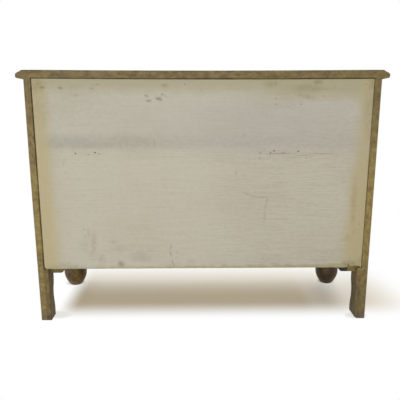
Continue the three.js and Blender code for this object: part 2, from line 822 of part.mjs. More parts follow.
// A door, placed with its origin at the foot of its hinged edge, on its front face.
function makeDoor(side, word) {
  const hingeEdge = frontPostX - doorGap;
  const meetEdge = doorGap / 2;
  const width = hingeEdge - meetEdge;
  const height = middleRailFoot - bottomTop - 2 * doorGap;
  const door = new THREE.Group();
  door.position.set(side * hingeEdge, faceY, bottomTop + doorGap);
  chiffonier.add(door);

  const mirrored = (pair) => pair.map((x) => -side * x);
  const window = doorWindow(width, height);
  const placedWindow = { x: sorted(mirrored(window.x)), z: window.z };
  const mould = windowMould(placedWindow);
  const tongue = grooveDepth;
  const tongueBackY = doorThickness - doorTongueBack;
  const tenonY = [tongueBackY - doorTongueThickness, tongueBackY];
  const grooveY = grown(tenonY, fitGap);
  const groove = block(
    grown(placedWindow.x, tongue + panelPlay),
    grooveY,
    grown(placedWindow.z, tongue + panelPlay),
  );
  const mortises = [];
  const railSpans = { lower: [0, doorRailHeight], upper: [height - doorRailHeight, height] };
  for (const [name, z] of Object.entries(railSpans)) {
    const inset = grown(z, -doorTenonShoulder);
    const tenonX = mirrored([stileWidth - doorTenon, width - stileWidth + doorTenon]);
    const rail = block(mirrored([stileWidth, width - stileWidth]), [0, doorThickness], z);
    const tenons = block(tenonX, tenonY, inset);
    mortises.push(block(grown(sorted(tenonX), fitGap), grooveY, grown(inset, fitGap)));
    addPiece(door, `door_${name}_rail_${word}`, cut(join(rail, tenons), mould, groove), paint);
  }

  const knobX = -side * (width - stileWidth / 2);
  const knobZ = height / 2;
  const feet = hingeHeights();
  const gains = Object.values(feet).map((foot) => {
    const gain = hingeGain(doorLeafSpan(side), foot);
    return gain.translate([-door.position.x, -door.position.y, -door.position.z]);
  });
  const hangingStile = block(mirrored([0, stileWidth]), [0, doorThickness], [0, height]);
  const madeHanging = cut(hangingStile, mould, groove, ...mortises, ...gains);
  addPiece(door, `door_hanging_stile_${word}`, madeHanging, paint);
  const meetingStile = block(mirrored([width - stileWidth, width]), [0, doorThickness], [0, height]);
  const madeMeeting = cut(meetingStile, mould, groove, ...mortises, knobHole(knobX, knobZ));
  addPiece(door, `door_meeting_stile_${word}`, madeMeeting, paint);

  const acrossPanel = outlineOf(fieldedSection(...placedWindow.x, tongue));
  const upPanel = outlineOf(fieldedSection(...placedWindow.z, tongue).map(([z, y]) => [y, z]));
  const panelZ = grown(placedWindow.z, tongue);
  const panelX = grown(placedWindow.x, tongue);
  const panel = extrudeAlongZ(acrossPanel, panelZ).intersect(extrudeAlongX(upPanel, panelX));
  addPiece(door, `door_panel_${word}`, panel, paint);
  addKnob(door, `door_knob_${word}`, knobX, knobZ);
}

function sorted(pair) {
  return [Math.min(...pair), Math.max(...pair)];
}

// One butt hinge: its pin is fixed in the frame leaf, and the door leaf's knuckles turn on it.
function makeHinge(side, word, level, foot) {
  const hinge = new THREE.Group();
  hinge.position.set(side * hingeAxisX, hingeAxisY, foot);
  chiffonier.add(hinge);
  const knuckle = hingeLength / hingeKnuckles;
  const local = (span) => span.map((x) => x - side * hingeAxisX);
  const leafY = [frontY - hingeAxisY, leafBackY - hingeAxisY];
  const frameX = local(frameLeafSpan(side));
  const doorX = local(doorLeafSpan(side));
  const frameParts = [block(frameX, leafY, [0, hingeLength])];
  const doorParts = [block(doorX, leafY, [0, hingeLength])];
  for (let i = 0; i < hingeKnuckles; i += 1) {
    const onFrame = i % 2 === 0;
    const z = onFrame
      ? [knuckle * i, knuckle * (i + 1)]
      : [knuckle * i + fitGap, knuckle * (i + 1) - fitGap];
    const arm = block(onFrame ? frameX : doorX, [0, leafY[0] + hingeLeafThickness], z);
    const barrel = cylinderAlongZ(hingeBarrelRadius, z, hingeSegments);
    const parts = onFrame ? frameParts : doorParts;
    parts.push(arm, barrel);
  }
  const pinZ = [-hingePinHead, hingeLength + hingePinHead];
  frameParts.push(cylinderAlongZ(hingePinRadius, pinZ, hingeSegments));
  const bore = cylinderAlongZ(hingePinRadius + fitGap, [0, hingeLength], hingeSegments);
  addPiece(hinge, `hinge_frame_leaf_${level}_${word}`, join(...frameParts), oldBrass);
  addPiece(hinge, `hinge_door_leaf_${level}_${word}`, cut(join(...doorParts), bore), oldBrass);
}

makeTopBoard();
makeBackPanel();
makeBottomBoard();
makeShelf();
makeFrontFrame();
makeRunners();
makeCatch();
makeCornerBlock(-1, 'left', cornerBlockReachLeft);
makeCornerBlock(1, 'right', cornerBlockReachRight);
for (const [side, word] of [[-1, 'left'], [1, 'right']]) {
  makeRearPost(side, word);
  makeFrontPost(side, word);
  makeFrontFoot(side, word);
  makeSideFrame(side, word);
  makeDrawer(side, word);
  makeDoor(side, word);
  for (const [level, foot] of Object.entries(hingeHeights())) {
    makeHinge(side, word, level, foot);
  }
}

export default chiffonier;
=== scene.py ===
import json
import math

import bmesh
import bpy
from mathutils import Euler, Matrix, Vector, noise
from mathutils.bvhtree import BVHTree


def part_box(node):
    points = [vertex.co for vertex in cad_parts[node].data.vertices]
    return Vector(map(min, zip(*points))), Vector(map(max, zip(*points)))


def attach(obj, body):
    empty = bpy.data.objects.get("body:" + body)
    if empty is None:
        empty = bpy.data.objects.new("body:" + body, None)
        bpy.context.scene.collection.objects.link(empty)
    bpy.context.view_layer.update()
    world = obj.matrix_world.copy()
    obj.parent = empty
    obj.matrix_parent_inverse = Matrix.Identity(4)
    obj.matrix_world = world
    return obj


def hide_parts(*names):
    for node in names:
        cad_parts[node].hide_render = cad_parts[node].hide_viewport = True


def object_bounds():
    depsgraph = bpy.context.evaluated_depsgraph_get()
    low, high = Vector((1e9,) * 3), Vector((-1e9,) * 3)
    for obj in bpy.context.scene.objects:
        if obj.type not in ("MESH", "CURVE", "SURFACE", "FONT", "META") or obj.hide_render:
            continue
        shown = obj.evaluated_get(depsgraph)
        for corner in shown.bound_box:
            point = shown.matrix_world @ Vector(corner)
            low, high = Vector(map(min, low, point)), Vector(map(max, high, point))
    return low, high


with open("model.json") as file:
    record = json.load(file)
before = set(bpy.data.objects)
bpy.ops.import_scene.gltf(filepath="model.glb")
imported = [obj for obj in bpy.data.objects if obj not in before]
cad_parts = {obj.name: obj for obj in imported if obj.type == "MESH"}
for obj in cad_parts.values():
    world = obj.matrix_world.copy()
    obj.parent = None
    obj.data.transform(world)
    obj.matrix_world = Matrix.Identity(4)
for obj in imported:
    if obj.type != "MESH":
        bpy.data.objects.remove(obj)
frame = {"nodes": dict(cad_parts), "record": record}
cad_low, cad_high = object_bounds()

MM = 0.001
AXES = "xyz"

# How the wood is worked, in millimetres
SLICE_LENGTH = 14
SLICE_MARGIN = 4
EASE_STEPS = 3
TOUCH_REACH = 0.8
WELD_REACH = 0.002
WEAR_PATCH = 38
WEAR_RAISED = 0.15
DENT_PATCH = 11
DENT_SPARED = 0.25
DENT_TIMES = 2
BROAD_WIDTH = 44
FLAT_ANGLE = math.radians(0.5)
SHARP_ANGLE = math.radians(28)
SMOOTH_ANGLE = math.radians(38)

# Each kind of wooden piece: the way its grain runs, how far its arrises are eased and how worn
WOODWORK = {
    "top_board": ("x", 2.4, 1.0),
    "bottom_board": ("x", 1.2, 0.4),
    "shelf": ("x", 1.2, 0.3),
    "front_middle_rail": ("x", 1.2, 0.4),
    "front_apron": ("x", 1.8, 0.7),
    "drawer_divider": ("z", 1.2, 0.4),
    "drawer_runner": ("y", 1.0, 0.2),
    "back_rail": ("x", 1.0, 0.2),
    "rear_corner_block": ("x", 1.4, 0.8),
    "rear_post": ("z", 2.2, 1.1),
    "front_post": ("z", 2.0, 0.8),
    "plinth_block": ("z", 2.0, 0.9),
    "side_top_rail": ("y", 1.4, 0.5),
    "side_bottom_rail": ("y", 1.8, 0.7),
    "side_panel": ("z", 1.0, 0.3),
    "drawer_front": ("x", 1.0, 0.5),
    "drawer_side": ("y", 1.0, 0.3),
    "drawer_back": ("x", 1.0, 0.3),
    "drawer_bottom": ("y", 0.6, 0.1),
    "door_hanging_stile": ("z", 1.4, 0.6),
    "door_meeting_stile": ("z", 1.4, 0.6),
    "door_upper_rail": ("x", 1.4, 0.6),
    "door_lower_rail": ("x", 1.4, 0.6),
    "door_panel": ("z", 0.8, 0.3),
}

BODY_OF = {
    node: body
    for body, members in frame["record"]["behaviour"]["bodies"].items()
    for node in members
}
SLOT_OF = {row["node"]: row["material_slot"] for row in frame["record"]["subparts"]}


def millimetres(*values):
    """A vector in the frame's metres from millimetres."""
    return Vector(values) * MM


def per_metre(size_in_mm):
    """The texture scale at which one cell of a pattern is that long."""
    return 1 / (size_in_mm * MM)


def linear(hex_colour):
    """An sRGB hex colour as the linear colour that a shader takes."""
    shares = [int(hex_colour[i:i + 2], 16) / 255 for i in (1, 3, 5)]
    return (*[s / 12.92 if s <= 0.04045 else ((s + 0.055) / 1.055) ** 2.4 for s in shares], 1)


def tint(hex_colour, ground):
    """What a finish of one colour is multiplied by to come out as another."""
    return (*[a / b for a, b in zip(linear(hex_colour)[:3], linear(ground)[:3])], 1)


def add(tree, kind, inputs=None, **settings):
    """Adds a node. Each input is a constant, another node's first output, or a chosen output."""
    node = tree.nodes.new(kind)
    for name, value in settings.items():
        setattr(node, name, value)
    for key, value in (inputs or {}).items():
        socket = next(s for s in node.inputs if s.identifier == key)
        if isinstance(value, bpy.types.Node):
            value = next(s for s in value.outputs if s.enabled)
        if isinstance(value, bpy.types.NodeSocket):
            tree.links.new(value, socket)
        else:
            socket.default_value = value
    return node


def painted(name, finish, *details):
    """A material of that name. Its finish fills the tree and gives back the surface shader."""
    material = bpy.data.materials.new(name)
    material.use_nodes = True
    tree = material.node_tree
    tree.nodes.clear()
    add(tree, "ShaderNodeOutputMaterial", {"Surface": finish(tree, *details)})
    return material


def own_place(tree):
    """The piece's own place, and that place across, along and up."""
    place = add(tree, "ShaderNodeTexCoord").outputs["Object"]
    return place, add(tree, "ShaderNodeSeparateXYZ", {"Vector": place}).outputs


def stretched(tree, grain, longer):
    """The piece's own place, squeezed along the grain so that a pattern comes out longer there."""
    place = add(tree, "ShaderNodeTexCoord").outputs["Object"]
    if longer == 1:
        return place
    scale = [1 / longer if axis == grain else 1 for axis in AXES]
    return add(tree, "ShaderNodeMapping", {"Vector": place, "Scale": scale})


def patterns(tree, grain, rows):
    """A finish's clouds, streaks and specks, in the order of their rows. A row gives the size of
    one cell in millimetres, how many times longer it is along the grain, and other settings."""
    return [
        add(tree, "ShaderNodeTexNoise", {
            "Vector": stretched(tree, grain, longer),
            "Scale": per_metre(cell),
            **settings,
        })
        for cell, longer, settings in rows.values()
    ]


def share(tree, *limits):
    """How far a place lies within all of its limits, as a share. A limit is a share by itself, or a
    value and the two ends of a span, over which it passes smoothly from 0 to 1, or from and to the
    two shares that follow."""
    whole = None
    for limit in limits:
        if isinstance(limit, tuple):
            value, low, high, *shares = limit
            to_low, to_high = shares or (0, 1)
            limit = add(tree, "ShaderNodeMapRange", {
                "Value": value,
                "From Min": low,
                "From Max": high,
                "To Min": to_low,
                "To Max": to_high,
            }, interpolation_type="SMOOTHSTEP")
        if whole is not None:
            limit = add(tree, "ShaderNodeMath", {
                "Value": whole,
                "Value_001": limit,
            }, operation="MULTIPLY")
        whole = limit
    return whole


# A layer of a finish covers what is under it, as paint does, or darkens it, as a stain does
COVER = "MIX"
STAIN = "MULTIPLY"


def laid(tree, tone, layers):
    """A finish's layers over its first tone. Each has how it is laid, its colour and its limits."""
    for kind, colour, *limits in layers:
        tone = add(tree, "ShaderNodeMix", {
            "Factor_Float": share(tree, *limits),
            "A_Color": tone,
            "B_Color": colour,
        }, data_type="RGBA", blend_type=kind)
    return tone


def surface(tree, tone, roughness, relief, strength, depth, specular=0.5):
    """A dull surface of that tone, with its roughness as one limit and a depth in millimetres."""
    bump = add(tree, "ShaderNodeBump", {
        "Height": relief,
        "Strength": strength,
        "Distance": depth * MM,
    })
    return add(tree, "ShaderNodeBsdfPrincipled", {
        "Base Color": tone,
        "Roughness": share(tree, roughness),
        "Specular IOR Level": specular,
        "Normal": bump,
    })


# Bronze paint
BRONZE_GROUND = "#847343"
PAINT_MID = linear(BRONZE_GROUND)
PAINT_LIGHT = linear("#968449")
PAINT_DARK = linear("#706034")
PAINT_GOLD_GLINT = linear("#9F8D54")
PAINT_ROSE = tint("#847145", BRONZE_GROUND)
PAINT_UNDERCOAT = linear("#463719")
PAINT_GRIME = tint("#6E6045", BRONZE_GROUND)
# Darkening for age on broad faces, and painted shade high up and low down
PAINT_AGE_AND_SHADE = tint("#6E5F39", BRONZE_GROUND)

# The wood's pores are about 0.3 mm wide, too fine to show, and are drawn coarser
PAINT_PATTERNS = {
    "clouds": (17, 1.3, {"Detail": 4.0, "Roughness": 0.6}),
    "strokes": (16, 9, {"Detail": 3.0}),
    "drift": (60, 1, {}),
    "fade": (260, 1, {"Detail": 3.0}),
    "streaks": (3.4, 18, {}),
    "glints": (13, 1.6, {}),
    "pores": (1.1, 14, {}),
}

# How far long strokes take the clouds' place on broad faces, the height at which the paint is
# dulled by dirt, and the heights of painted shade high up and low down, less low down at +X, in
# millimetres
STROKES_SHARE = 0.75
GRIME_HEIGHT = 55
PAINT_SHADE_ABOVE = (480, 850)
PAINT_SHADE_BELOW = (120, 260)
PAINT_SHADE_BELOW_AT_PLUS_X = 0.3

# Where the rear is hidden from the brush, in millimetres: beneath the back, forward of the rear
# posts' outer strips
UNPAINTED_HALF = 577
UNPAINTED_TOP = 199
UNPAINTED_FRONT = 120
UNPAINTED_FADE = 2
THIN_FROM = 559
THIN_SHARE = 0.56
# A near-black shadow is painted into the gap at the left-hand corner block's inner end
GAP_SHADOW_REACH = (-531, -524)
THIN_OUTSIDE_GAP_SHARE = 0.4
PATCHY_SHARES = (1.1, 0.75)
PAINT_THIN = tint("#5F5029", BRONZE_GROUND)
PAINT_GAP_SHADOW = tint("#352C18", BRONZE_GROUND)


def beneath_the_back(tree, axes, streaks):
    """Where the legs and corner blocks were reached by little paint, unevenly, and the painted gap
    shadow.
    """
    across, along, height = axes
    half, top, thin = [
        millimetres(place - UNPAINTED_FADE, place + UNPAINTED_FADE)
        for place in (UNPAINTED_HALF, UNPAINTED_TOP, THIN_FROM)
    ]
    outward = add(tree, "ShaderNodeMath", {"Value": across}, operation="ABSOLUTE")
    hidden = share(tree, (height, *top, 1, 0), (along, 0, UNPAINTED_FRONT * MM))
    toward_gap_shadow = share(tree, (across, *millimetres(*GAP_SHADOW_REACH)))
    little = share(
        tree,
        hidden,
        (outward, *half, 1, 0),
        (across, *thin, 1, THIN_SHARE),
        (toward_gap_shadow, 0, 1, THIN_OUTSIDE_GAP_SHARE, 1),
        (streaks, 0.35, 0.65, *PATCHY_SHARES),
    )
    gap_shadow = share(tree, hidden, toward_gap_shadow, (across, GAP_SHADOW_REACH[1] * MM, 0, 1, 0))
    return little, gap_shadow


def bronze_paint(tree, grain):
    """Bronze-gold lacquer brushed over open-grained wood: cloudy tone, streaks along the grain,
    longer strokes on the broad faces, painted glints of gold, dark undercoat where the arrises are
    rubbed, and painted shade high up and low down."""
    _, axes = own_place(tree)
    across, _, height = axes
    clouds, strokes, drift, fade, streaks, glints, pores = patterns(tree, grain, PAINT_PATTERNS)
    broad, arris = [
        add(tree, "ShaderNodeAttribute", attribute_name=name).outputs["Fac"]
        for name in ("broad", "arris")
    ]
    clouds = add(tree, "ShaderNodeMix", {
        "Factor_Float": share(tree, broad, STROKES_SHARE),
        "A_Float": clouds,
        "B_Float": strokes,
    })
    little, gap_shadow = beneath_the_back(tree, axes, streaks)
    sides = millimetres(-UNPAINTED_HALF, UNPAINTED_HALF)
    painted_shade = add(tree, "ShaderNodeMath", {
        "Value": share(tree, (height, *millimetres(*PAINT_SHADE_ABOVE))),
        "Value_001": share(
            tree,
            (height, *millimetres(*PAINT_SHADE_BELOW), 1, 0),
            (across, *sides, 1, PAINT_SHADE_BELOW_AT_PLUS_X),
        ),
    }, operation="MAXIMUM")
    tone = laid(tree, PAINT_DARK, [
        (COVER, PAINT_MID, (clouds, 0.36, 0.52)),
        (COVER, PAINT_LIGHT, (clouds, 0.50, 0.66, 0, 0.8)),
        (STAIN, PAINT_ROSE, (drift, 0.42, 0.62)),
        (COVER, PAINT_DARK, (streaks, 0.50, 0.72, 0, 0.45)),
        # Painted glints: lighter gold spots standing in for light caught by the paint
        (COVER, PAINT_GOLD_GLINT, (glints, 0.56, 0.72, 0, 0.5)),
        (STAIN, PAINT_AGE_AND_SHADE, broad, (fade, 0.42, 0.62, 0, 0.5)),
        (STAIN, PAINT_THIN, little),
        # Painted shadow in the gap beneath the back
        (STAIN, PAINT_GAP_SHADOW, gap_shadow),
        (COVER, PAINT_UNDERCOAT, arris, (drift, 0.40, 0.62, 0.08, 0.75)),
        (STAIN, PAINT_GRIME, (height, 0, GRIME_HEIGHT * MM, 0.85, 0)),
        # Painted shade: darker high up and low down, less low down at the +X end
        (STAIN, PAINT_AGE_AND_SHADE, painted_shade),
    ])
    relief = add(tree, "ShaderNodeMath", {"Value": streaks, "Value_001": pores})
    return surface(
        tree,
        tone,
        roughness=(streaks, 0.35, 0.7, 0.52, 0.68),
        specular=0.3,
        relief=relief,
        strength=0.35,
        depth=0.5,
    )


# The feet's darker, waxed paint, and the places across between which painted shade deepens it
FOOT_GROUND = "#5F4B1A"
FOOT_MID = linear(FOOT_GROUND)
FOOT_LIGHT = linear("#8A7640")
FOOT_DARK = linear("#3E2E07")
FOOT_SHADE = tint("#342403", FOOT_GROUND)
FOOT_SHADE_SPAN = (-100, 100)
FOOT_PATTERNS = {
    "clouds": (26, 1.5, {"Detail": 3.0}),
    "rings": (2.2, 1, {"Detail": 1.0}),
}


def waxed_foot_paint(tree):
    """The same bronze paint under dark wax, with a soft sheen, and painted shade on the left-hand
    foot.
    """
    _, axes = own_place(tree)
    clouds, rings = patterns(tree, "z", FOOT_PATTERNS)
    tone = laid(tree, FOOT_DARK, [
        (COVER, FOOT_MID, (clouds, 0.35, 0.55)),
        (COVER, FOOT_LIGHT, (clouds, 0.52, 0.70)),
        # Painted shade on the left-hand foot
        (STAIN, FOOT_SHADE, (axes["X"], *millimetres(*FOOT_SHADE_SPAN), 1, 0)),
    ])
    return surface(
        tree,
        tone,
        roughness=(clouds, 0.3, 0.7, 0.46, 0.58),
        specular=0.42,
        relief=rings,
        strength=0.15,
        depth=0.4,
    )


# Off-white paint on the plywood back
BACK_GROUND = "#BDB8A7"
BACK_PAINT = linear(BACK_GROUND)
BACK_SHADED = tint("#BAB5A5", BACK_GROUND)
BACK_COOL = tint("#BAB5A7", BACK_GROUND)
BACK_UPPER_SHADE = tint("#B9B5A6", BACK_GROUND)
BACK_WARM = tint("#BAB4A2", BACK_GROUND)
BACK_DARK_BAND = tint("#AEA999", BACK_GROUND)
BACK_GRAIN_DARK = tint("#B5AF9D", BACK_GROUND)
BACK_SMUDGE = linear("#74694E")
BACK_SPECK = linear("#463F30")
BACK_DIRT = linear("#857E5B")
BACK_RUST = linear("#A08A5C")
BACK_WORN_EDGE = linear("#CFC5AA")
BACK_GRAIN_SIZE = 4.0
BACK_GRAIN_LENGTH = 40
BACK_GRAIN_SWAY = (2, 8)

# The plywood's fibres are under 0.5 mm wide, too fine to show, and are drawn coarser
BACK_PATTERNS = {
    "patches": (210, 1.4, {"Detail": 3.0, "Roughness": 0.6}),
    "uneven": (42, 1, {"Detail": 4.0}),
    "sway": (90, 3, {"Detail": 1.0}),
    "flecks": (5.5, 4, {}),
    "mottle": (13, 1, {"Detail": 3.0}),
    "spray_streaks": (5, 8, {}),
    "wobble": (9, 1, {}),
    "fibres": (1.2, BACK_GRAIN_LENGTH, {}),
}
BOLD_GRAIN_BELOW = (600, 650)
WOBBLE_REACH = 3
OVAL_TURN = 15
FLATTEN = 1e6

# How much of a mark's reach, from its rim inwards, is a soft edge
MARK_SOFTNESS = 0.9
LINE_SOFTNESS = 0.8
SPECK_SOFTNESS = 0.5

# Broad shading, from the middle of the back to its right-hand end
SHADE_START = 90
SHADE_END = -280

# A cooler cloud in the middle, the heights over which painted shade darkens the upper back, and a
# darker level band: its heights, and the places across between which it fades
COOL_CLOUD = [(-170, 702, 520, 130, 0, 1.0)]
BACK_SHADE_ABOVE = (588, 628)
DARK_BAND_HEIGHTS = (624, 648, 654, 700)
DARK_BAND_FADE = (-100, 430)
DARK_BAND_FAINT = 0.3

# Bronze overspray from each edge of the back: the colour, the strength at either end of the
# edge, how far it reaches in at either end, and how ragged its inner limit is
SPRAYS = {
    "top": ("#A59D80", (0.96, 0.79), (100, 66), 6),
    "foot": ("#988B64", (0.75, 0.4), (20, 10), 6),
    "left": ("#AC9F7B", (0.98, 0.76), (112, 62), 7),
    "right": ("#B4A783", (1.0, 0.88), (86, 62), 5),
}
SPRAY_CORE_SHARE = 0.25
SPRAY_STREAK_SHARE = 0.4
TOP_SPRAY_SHARES = (0.5, 0.25)
FOOT_DIRT_HEIGHT = 4

# Marks on the back: the middle across and up, the reach along and across the mark, its lean in
# degrees and its strength
SMUDGES = [
    (192, 812, 14, 5, 12, 0.55),
    (185, 796, 14, 8, 0, 0.6),
    (152, 802, 14, 9, 15, 0.75),
    (143, 799, 8, 7, 0, 0.5),
    (139, 818, 7, 6, 0, 0.35),
    (130, 846, 18, 11, 0, 0.35),
    (480, 838, 10, 7, 0, 0.75),
    (539, 839, 13, 5, 0, 0.7),
    (375, 836, 12, 5, 0, 0.35),
    (9, 831, 4, 3, 0, 0.5),
    (443, 838, 9, 4, 0, 0.2),
    (430, 815, 18, 9, -15, 0.25),
    (330, 756, 6, 9, 0, 0.12),
    (45, 692, 7, 3.5, 0, 0.35),
    (-142, 682, 12, 6, 0, 0.35),
    (170, 655, 6, 18, 0, 0.3),
    (-114, 546, 8, 7, 0, 0.3),
    (393, 300, 18, 64, 0, 0.25),
    (408, 330, 9, 36, 0, 0.2),
    (398, 250, 16, 44, 0, 0.16),
    (424, 286, 22, 44, 0, 0.13),
    (425, 348, 6, 6, 0, 0.4),
    (422, 321, 7, 7, 0, 0.3),
    (366, 236, 26, 26, 0, 0.2),
    (300, 276, 42, 26, 0, 0.15),
    (322, 300, 26, 12, 0, 0.18),
    (228, 246, 62, 34, 0, 0.22),
    (196, 268, 20, 14, 0, 0.16),
    (258, 268, 13, 12, 0, 0.16),
    (296, 217, 22, 17, 30, 0.52),
    (45, 224, 26, 22, 0, 0.14),
]

DIRT = [
    (430, 790, 270, 140, 0, 0.08),
    (540, 640, 70, 300, 0, 0.08),
    (552, 775, 60, 140, 0, 0.26),
    (-352, 837, 80, 24, 4, 0.45),
    (-345, 812, 52, 18, 22, 0.35),
    (-228, 852, 46, 18, 0, 0.35),
    (-243, 851, 13, 10, 0, 0.4),
    (-385, 856, 28, 13, 0, 0.7),
    (-407, 811, 9, 5, 0, 0.4),
    (-444, 842, 9, 5, 0, 0.35),
    (-566, 850, 22, 36, 0, 0.5),
    (562, 848, 60, 44, 0, 0.6),
    (500, 204, 105, 24, 0, 0.42),
    (-566, 765, 38, 130, 0, 0.3),
    (-430, 240, 140, 70, 0, 0.12),
    (-530, 212, 40, 28, 0, 0.8),
    (-575, 225, 30, 26, 0, 0.4),
    (-531, 234, 3, 15, 0, 0.4),
    (-552, 232, 3, 18, 0, 0.4),
    (-566, 229, 3, 12, 0, 0.4),
]

RUST = [
    (-532, 440, 17, 125, 0, 0.5),
    (-534, 385, 12, 24, 0, 0.6),
    (-520, 311, 26, 22, 20, 0.3),
    (-540, 336, 10, 20, 0, 0.3),
]

SPECKS = [
    (440, 618, 4.2, 3.2, 0, 0.85),
    (490, 624, 2.6, 2.6, 0, 0.45),
    (373, 621, 4.4, 3.0, 0, 0.9),
    (359, 617, 4.2, 2.6, 0, 0.6),
    (396, 614, 3.6, 2.4, 0, 0.45),
    (-232, 619, 3.2, 3.0, 0, 0.85),
    (-244, 626, 3.2, 4.0, 0, 0.8),
    (-328, 624, 3.2, 3.6, 0, 0.95),
    (-197, 619, 4.2, 2.4, 0, 0.6),
    (-196, 600, 3.2, 4.2, 0, 0.45),
    (-276, 619, 10, 2.4, 0, 0.3),
    (-210, 631, 2.6, 3.6, 0, 0.4),
    (-356, 601, 3.0, 3.6, 0, 0.4),
    (-245, 803, 2.6, 2.6, 0, 0.5),
    (-245, 784, 2.6, 2.6, 0, 0.4),
    (-331, 784, 5.0, 2.0, 0, 0.5),
    (-566, 750, 3.6, 2.4, 0, 0.3),
    (-558, 362, 2.2, 2.0, 0, 0.5),
    (477, 552, 2.2, 6, 0, 0.25),
]

# Scratches and a hairline crack, as places along each, its half width and its strength
SCRATCHES = [
    (
        [(-136, 481), (-164, 469), (-193, 463), (-223, 463), (-226, 445), (-215, 416), (-220, 372)],
        6.5,
        0.22,
    ),
    ([(113, 294), (120, 269), (114, 239), (107, 204)], 3.0, 0.55),
    ([(100, 272), (92, 250), (104, 232)], 2.6, 0.24),
    ([(-190, 617), (-330, 616), (-480, 614)], 2.2, 0.5),
    ([(-290, 611), (-400, 608)], 2.0, 0.4),
    ([(-265, 605), (-340, 602)], 1.8, 0.3),
    ([(-240, 514), (-296, 514)], 2.2, 0.42),
    ([(203, 427), (97, 426)], 2.2, 0.14),
    ([(474, 610), (490, 566)], 2.0, 0.25),
    ([(462, 604), (459, 596)], 2.2, 0.25),
    ([(149, 803), (144, 814), (133, 818)], 3.5, 0.38),
    ([(133, 818), (122, 806)], 3.5, 0.3),
    ([(-278, 783), (-314, 760)], 2.2, 0.22),
    ([(-300, 786), (-322, 770)], 2.0, 0.2),
    ([(-300, 834), (-560, 833)], 1.6, 0.25),
]


def along_line(places, half_width, strength):
    """Oval marks end to end along a line of places."""
    marks = []
    for start, end in zip(places, places[1:]):
        middle = [(s + e) / 2 for s, e in zip(start, end)]
        lean = math.degrees(math.atan2(end[1] - start[1], end[0] - start[0]))
        reach = math.dist(start, end) / 2 + half_width
        marks.append((*middle, reach, half_width, lean, strength))
    return marks


def oval_shape(along, across, lean):
    """The nearest of a few long and leaning shapes, and the radius of a round of the same area."""
    if across > along:
        along, across, lean = across, along, lean + 90
    doublings = round(math.log2(along / across))
    lean = round(lean / OVAL_TURN) * OVAL_TURN % 180 if doublings else 0
    return doublings, lean, math.sqrt(along * across)


def marked(tree, place, marks, softness, stretched_places):
    """The strongest of some oval marks at each place. Marks of one shape share a stretched place."""
    strongest = 0.0
    for x, z, along, across, lean, strength in marks:
        doublings, lean, radius = oval_shape(along, across, lean)
        turn = Euler((0, math.radians(-lean), 0))
        squeeze = Vector((2 ** (doublings / 2), FLATTEN, 2 ** (-doublings / 2)))
        if (doublings, lean) not in stretched_places:
            stretched_places[doublings, lean] = add(tree, "ShaderNodeMapping", {
                "Vector": place,
                "Rotation": turn,
                "Scale": squeeze,
            }, vector_type="TEXTURE")
        middle = turn.to_matrix().transposed() @ millimetres(x, 0, z)
        away = add(tree, "ShaderNodeVectorMath", {
            "Vector": stretched_places[doublings, lean],
            "Vector_001": [m / s for m, s in zip(middle, squeeze)],
        }, operation="DISTANCE").outputs["Value"]
        strongest = add(tree, "ShaderNodeMath", {
            "Value": share(tree, (away, (1 - softness) * radius * MM, radius * MM, strength, 0)),
            "Value_001": strongest,
        }, operation="MAXIMUM")
    return strongest


def sprayed(tree, tone, spray, way_in, way_along, ragged):
    """Overspray that fades in from one edge of the back over the tone. The way in is a part of
    the place, the sign that leads inwards and the edge. The way along is the other part of the
    place and two ends."""
    colour, strengths, reaches, unevenness = spray
    part, inward, edge = way_in
    distance = add(tree, "ShaderNodeMath", {
        "Value": part,
        "Value_001": inward,
        "Value_002": -inward * edge,
    }, operation="MULTIPLY_ADD")
    away = add(tree, "ShaderNodeMath", {
        "Value": distance,
        "Value_001": share(tree, (ragged, 0.3, 0.7, *millimetres(-unevenness, unevenness))),
    })
    nearness = add(tree, "ShaderNodeMath", {
        "Value": away,
        "Value_001": share(tree, (*way_along, *millimetres(*reaches))),
    }, operation="DIVIDE")
    core = (nearness, SPRAY_CORE_SHARE, 1, 1, 0)
    return laid(tree, tone, [(COVER, linear(colour), core, (*way_along, *strengths))])


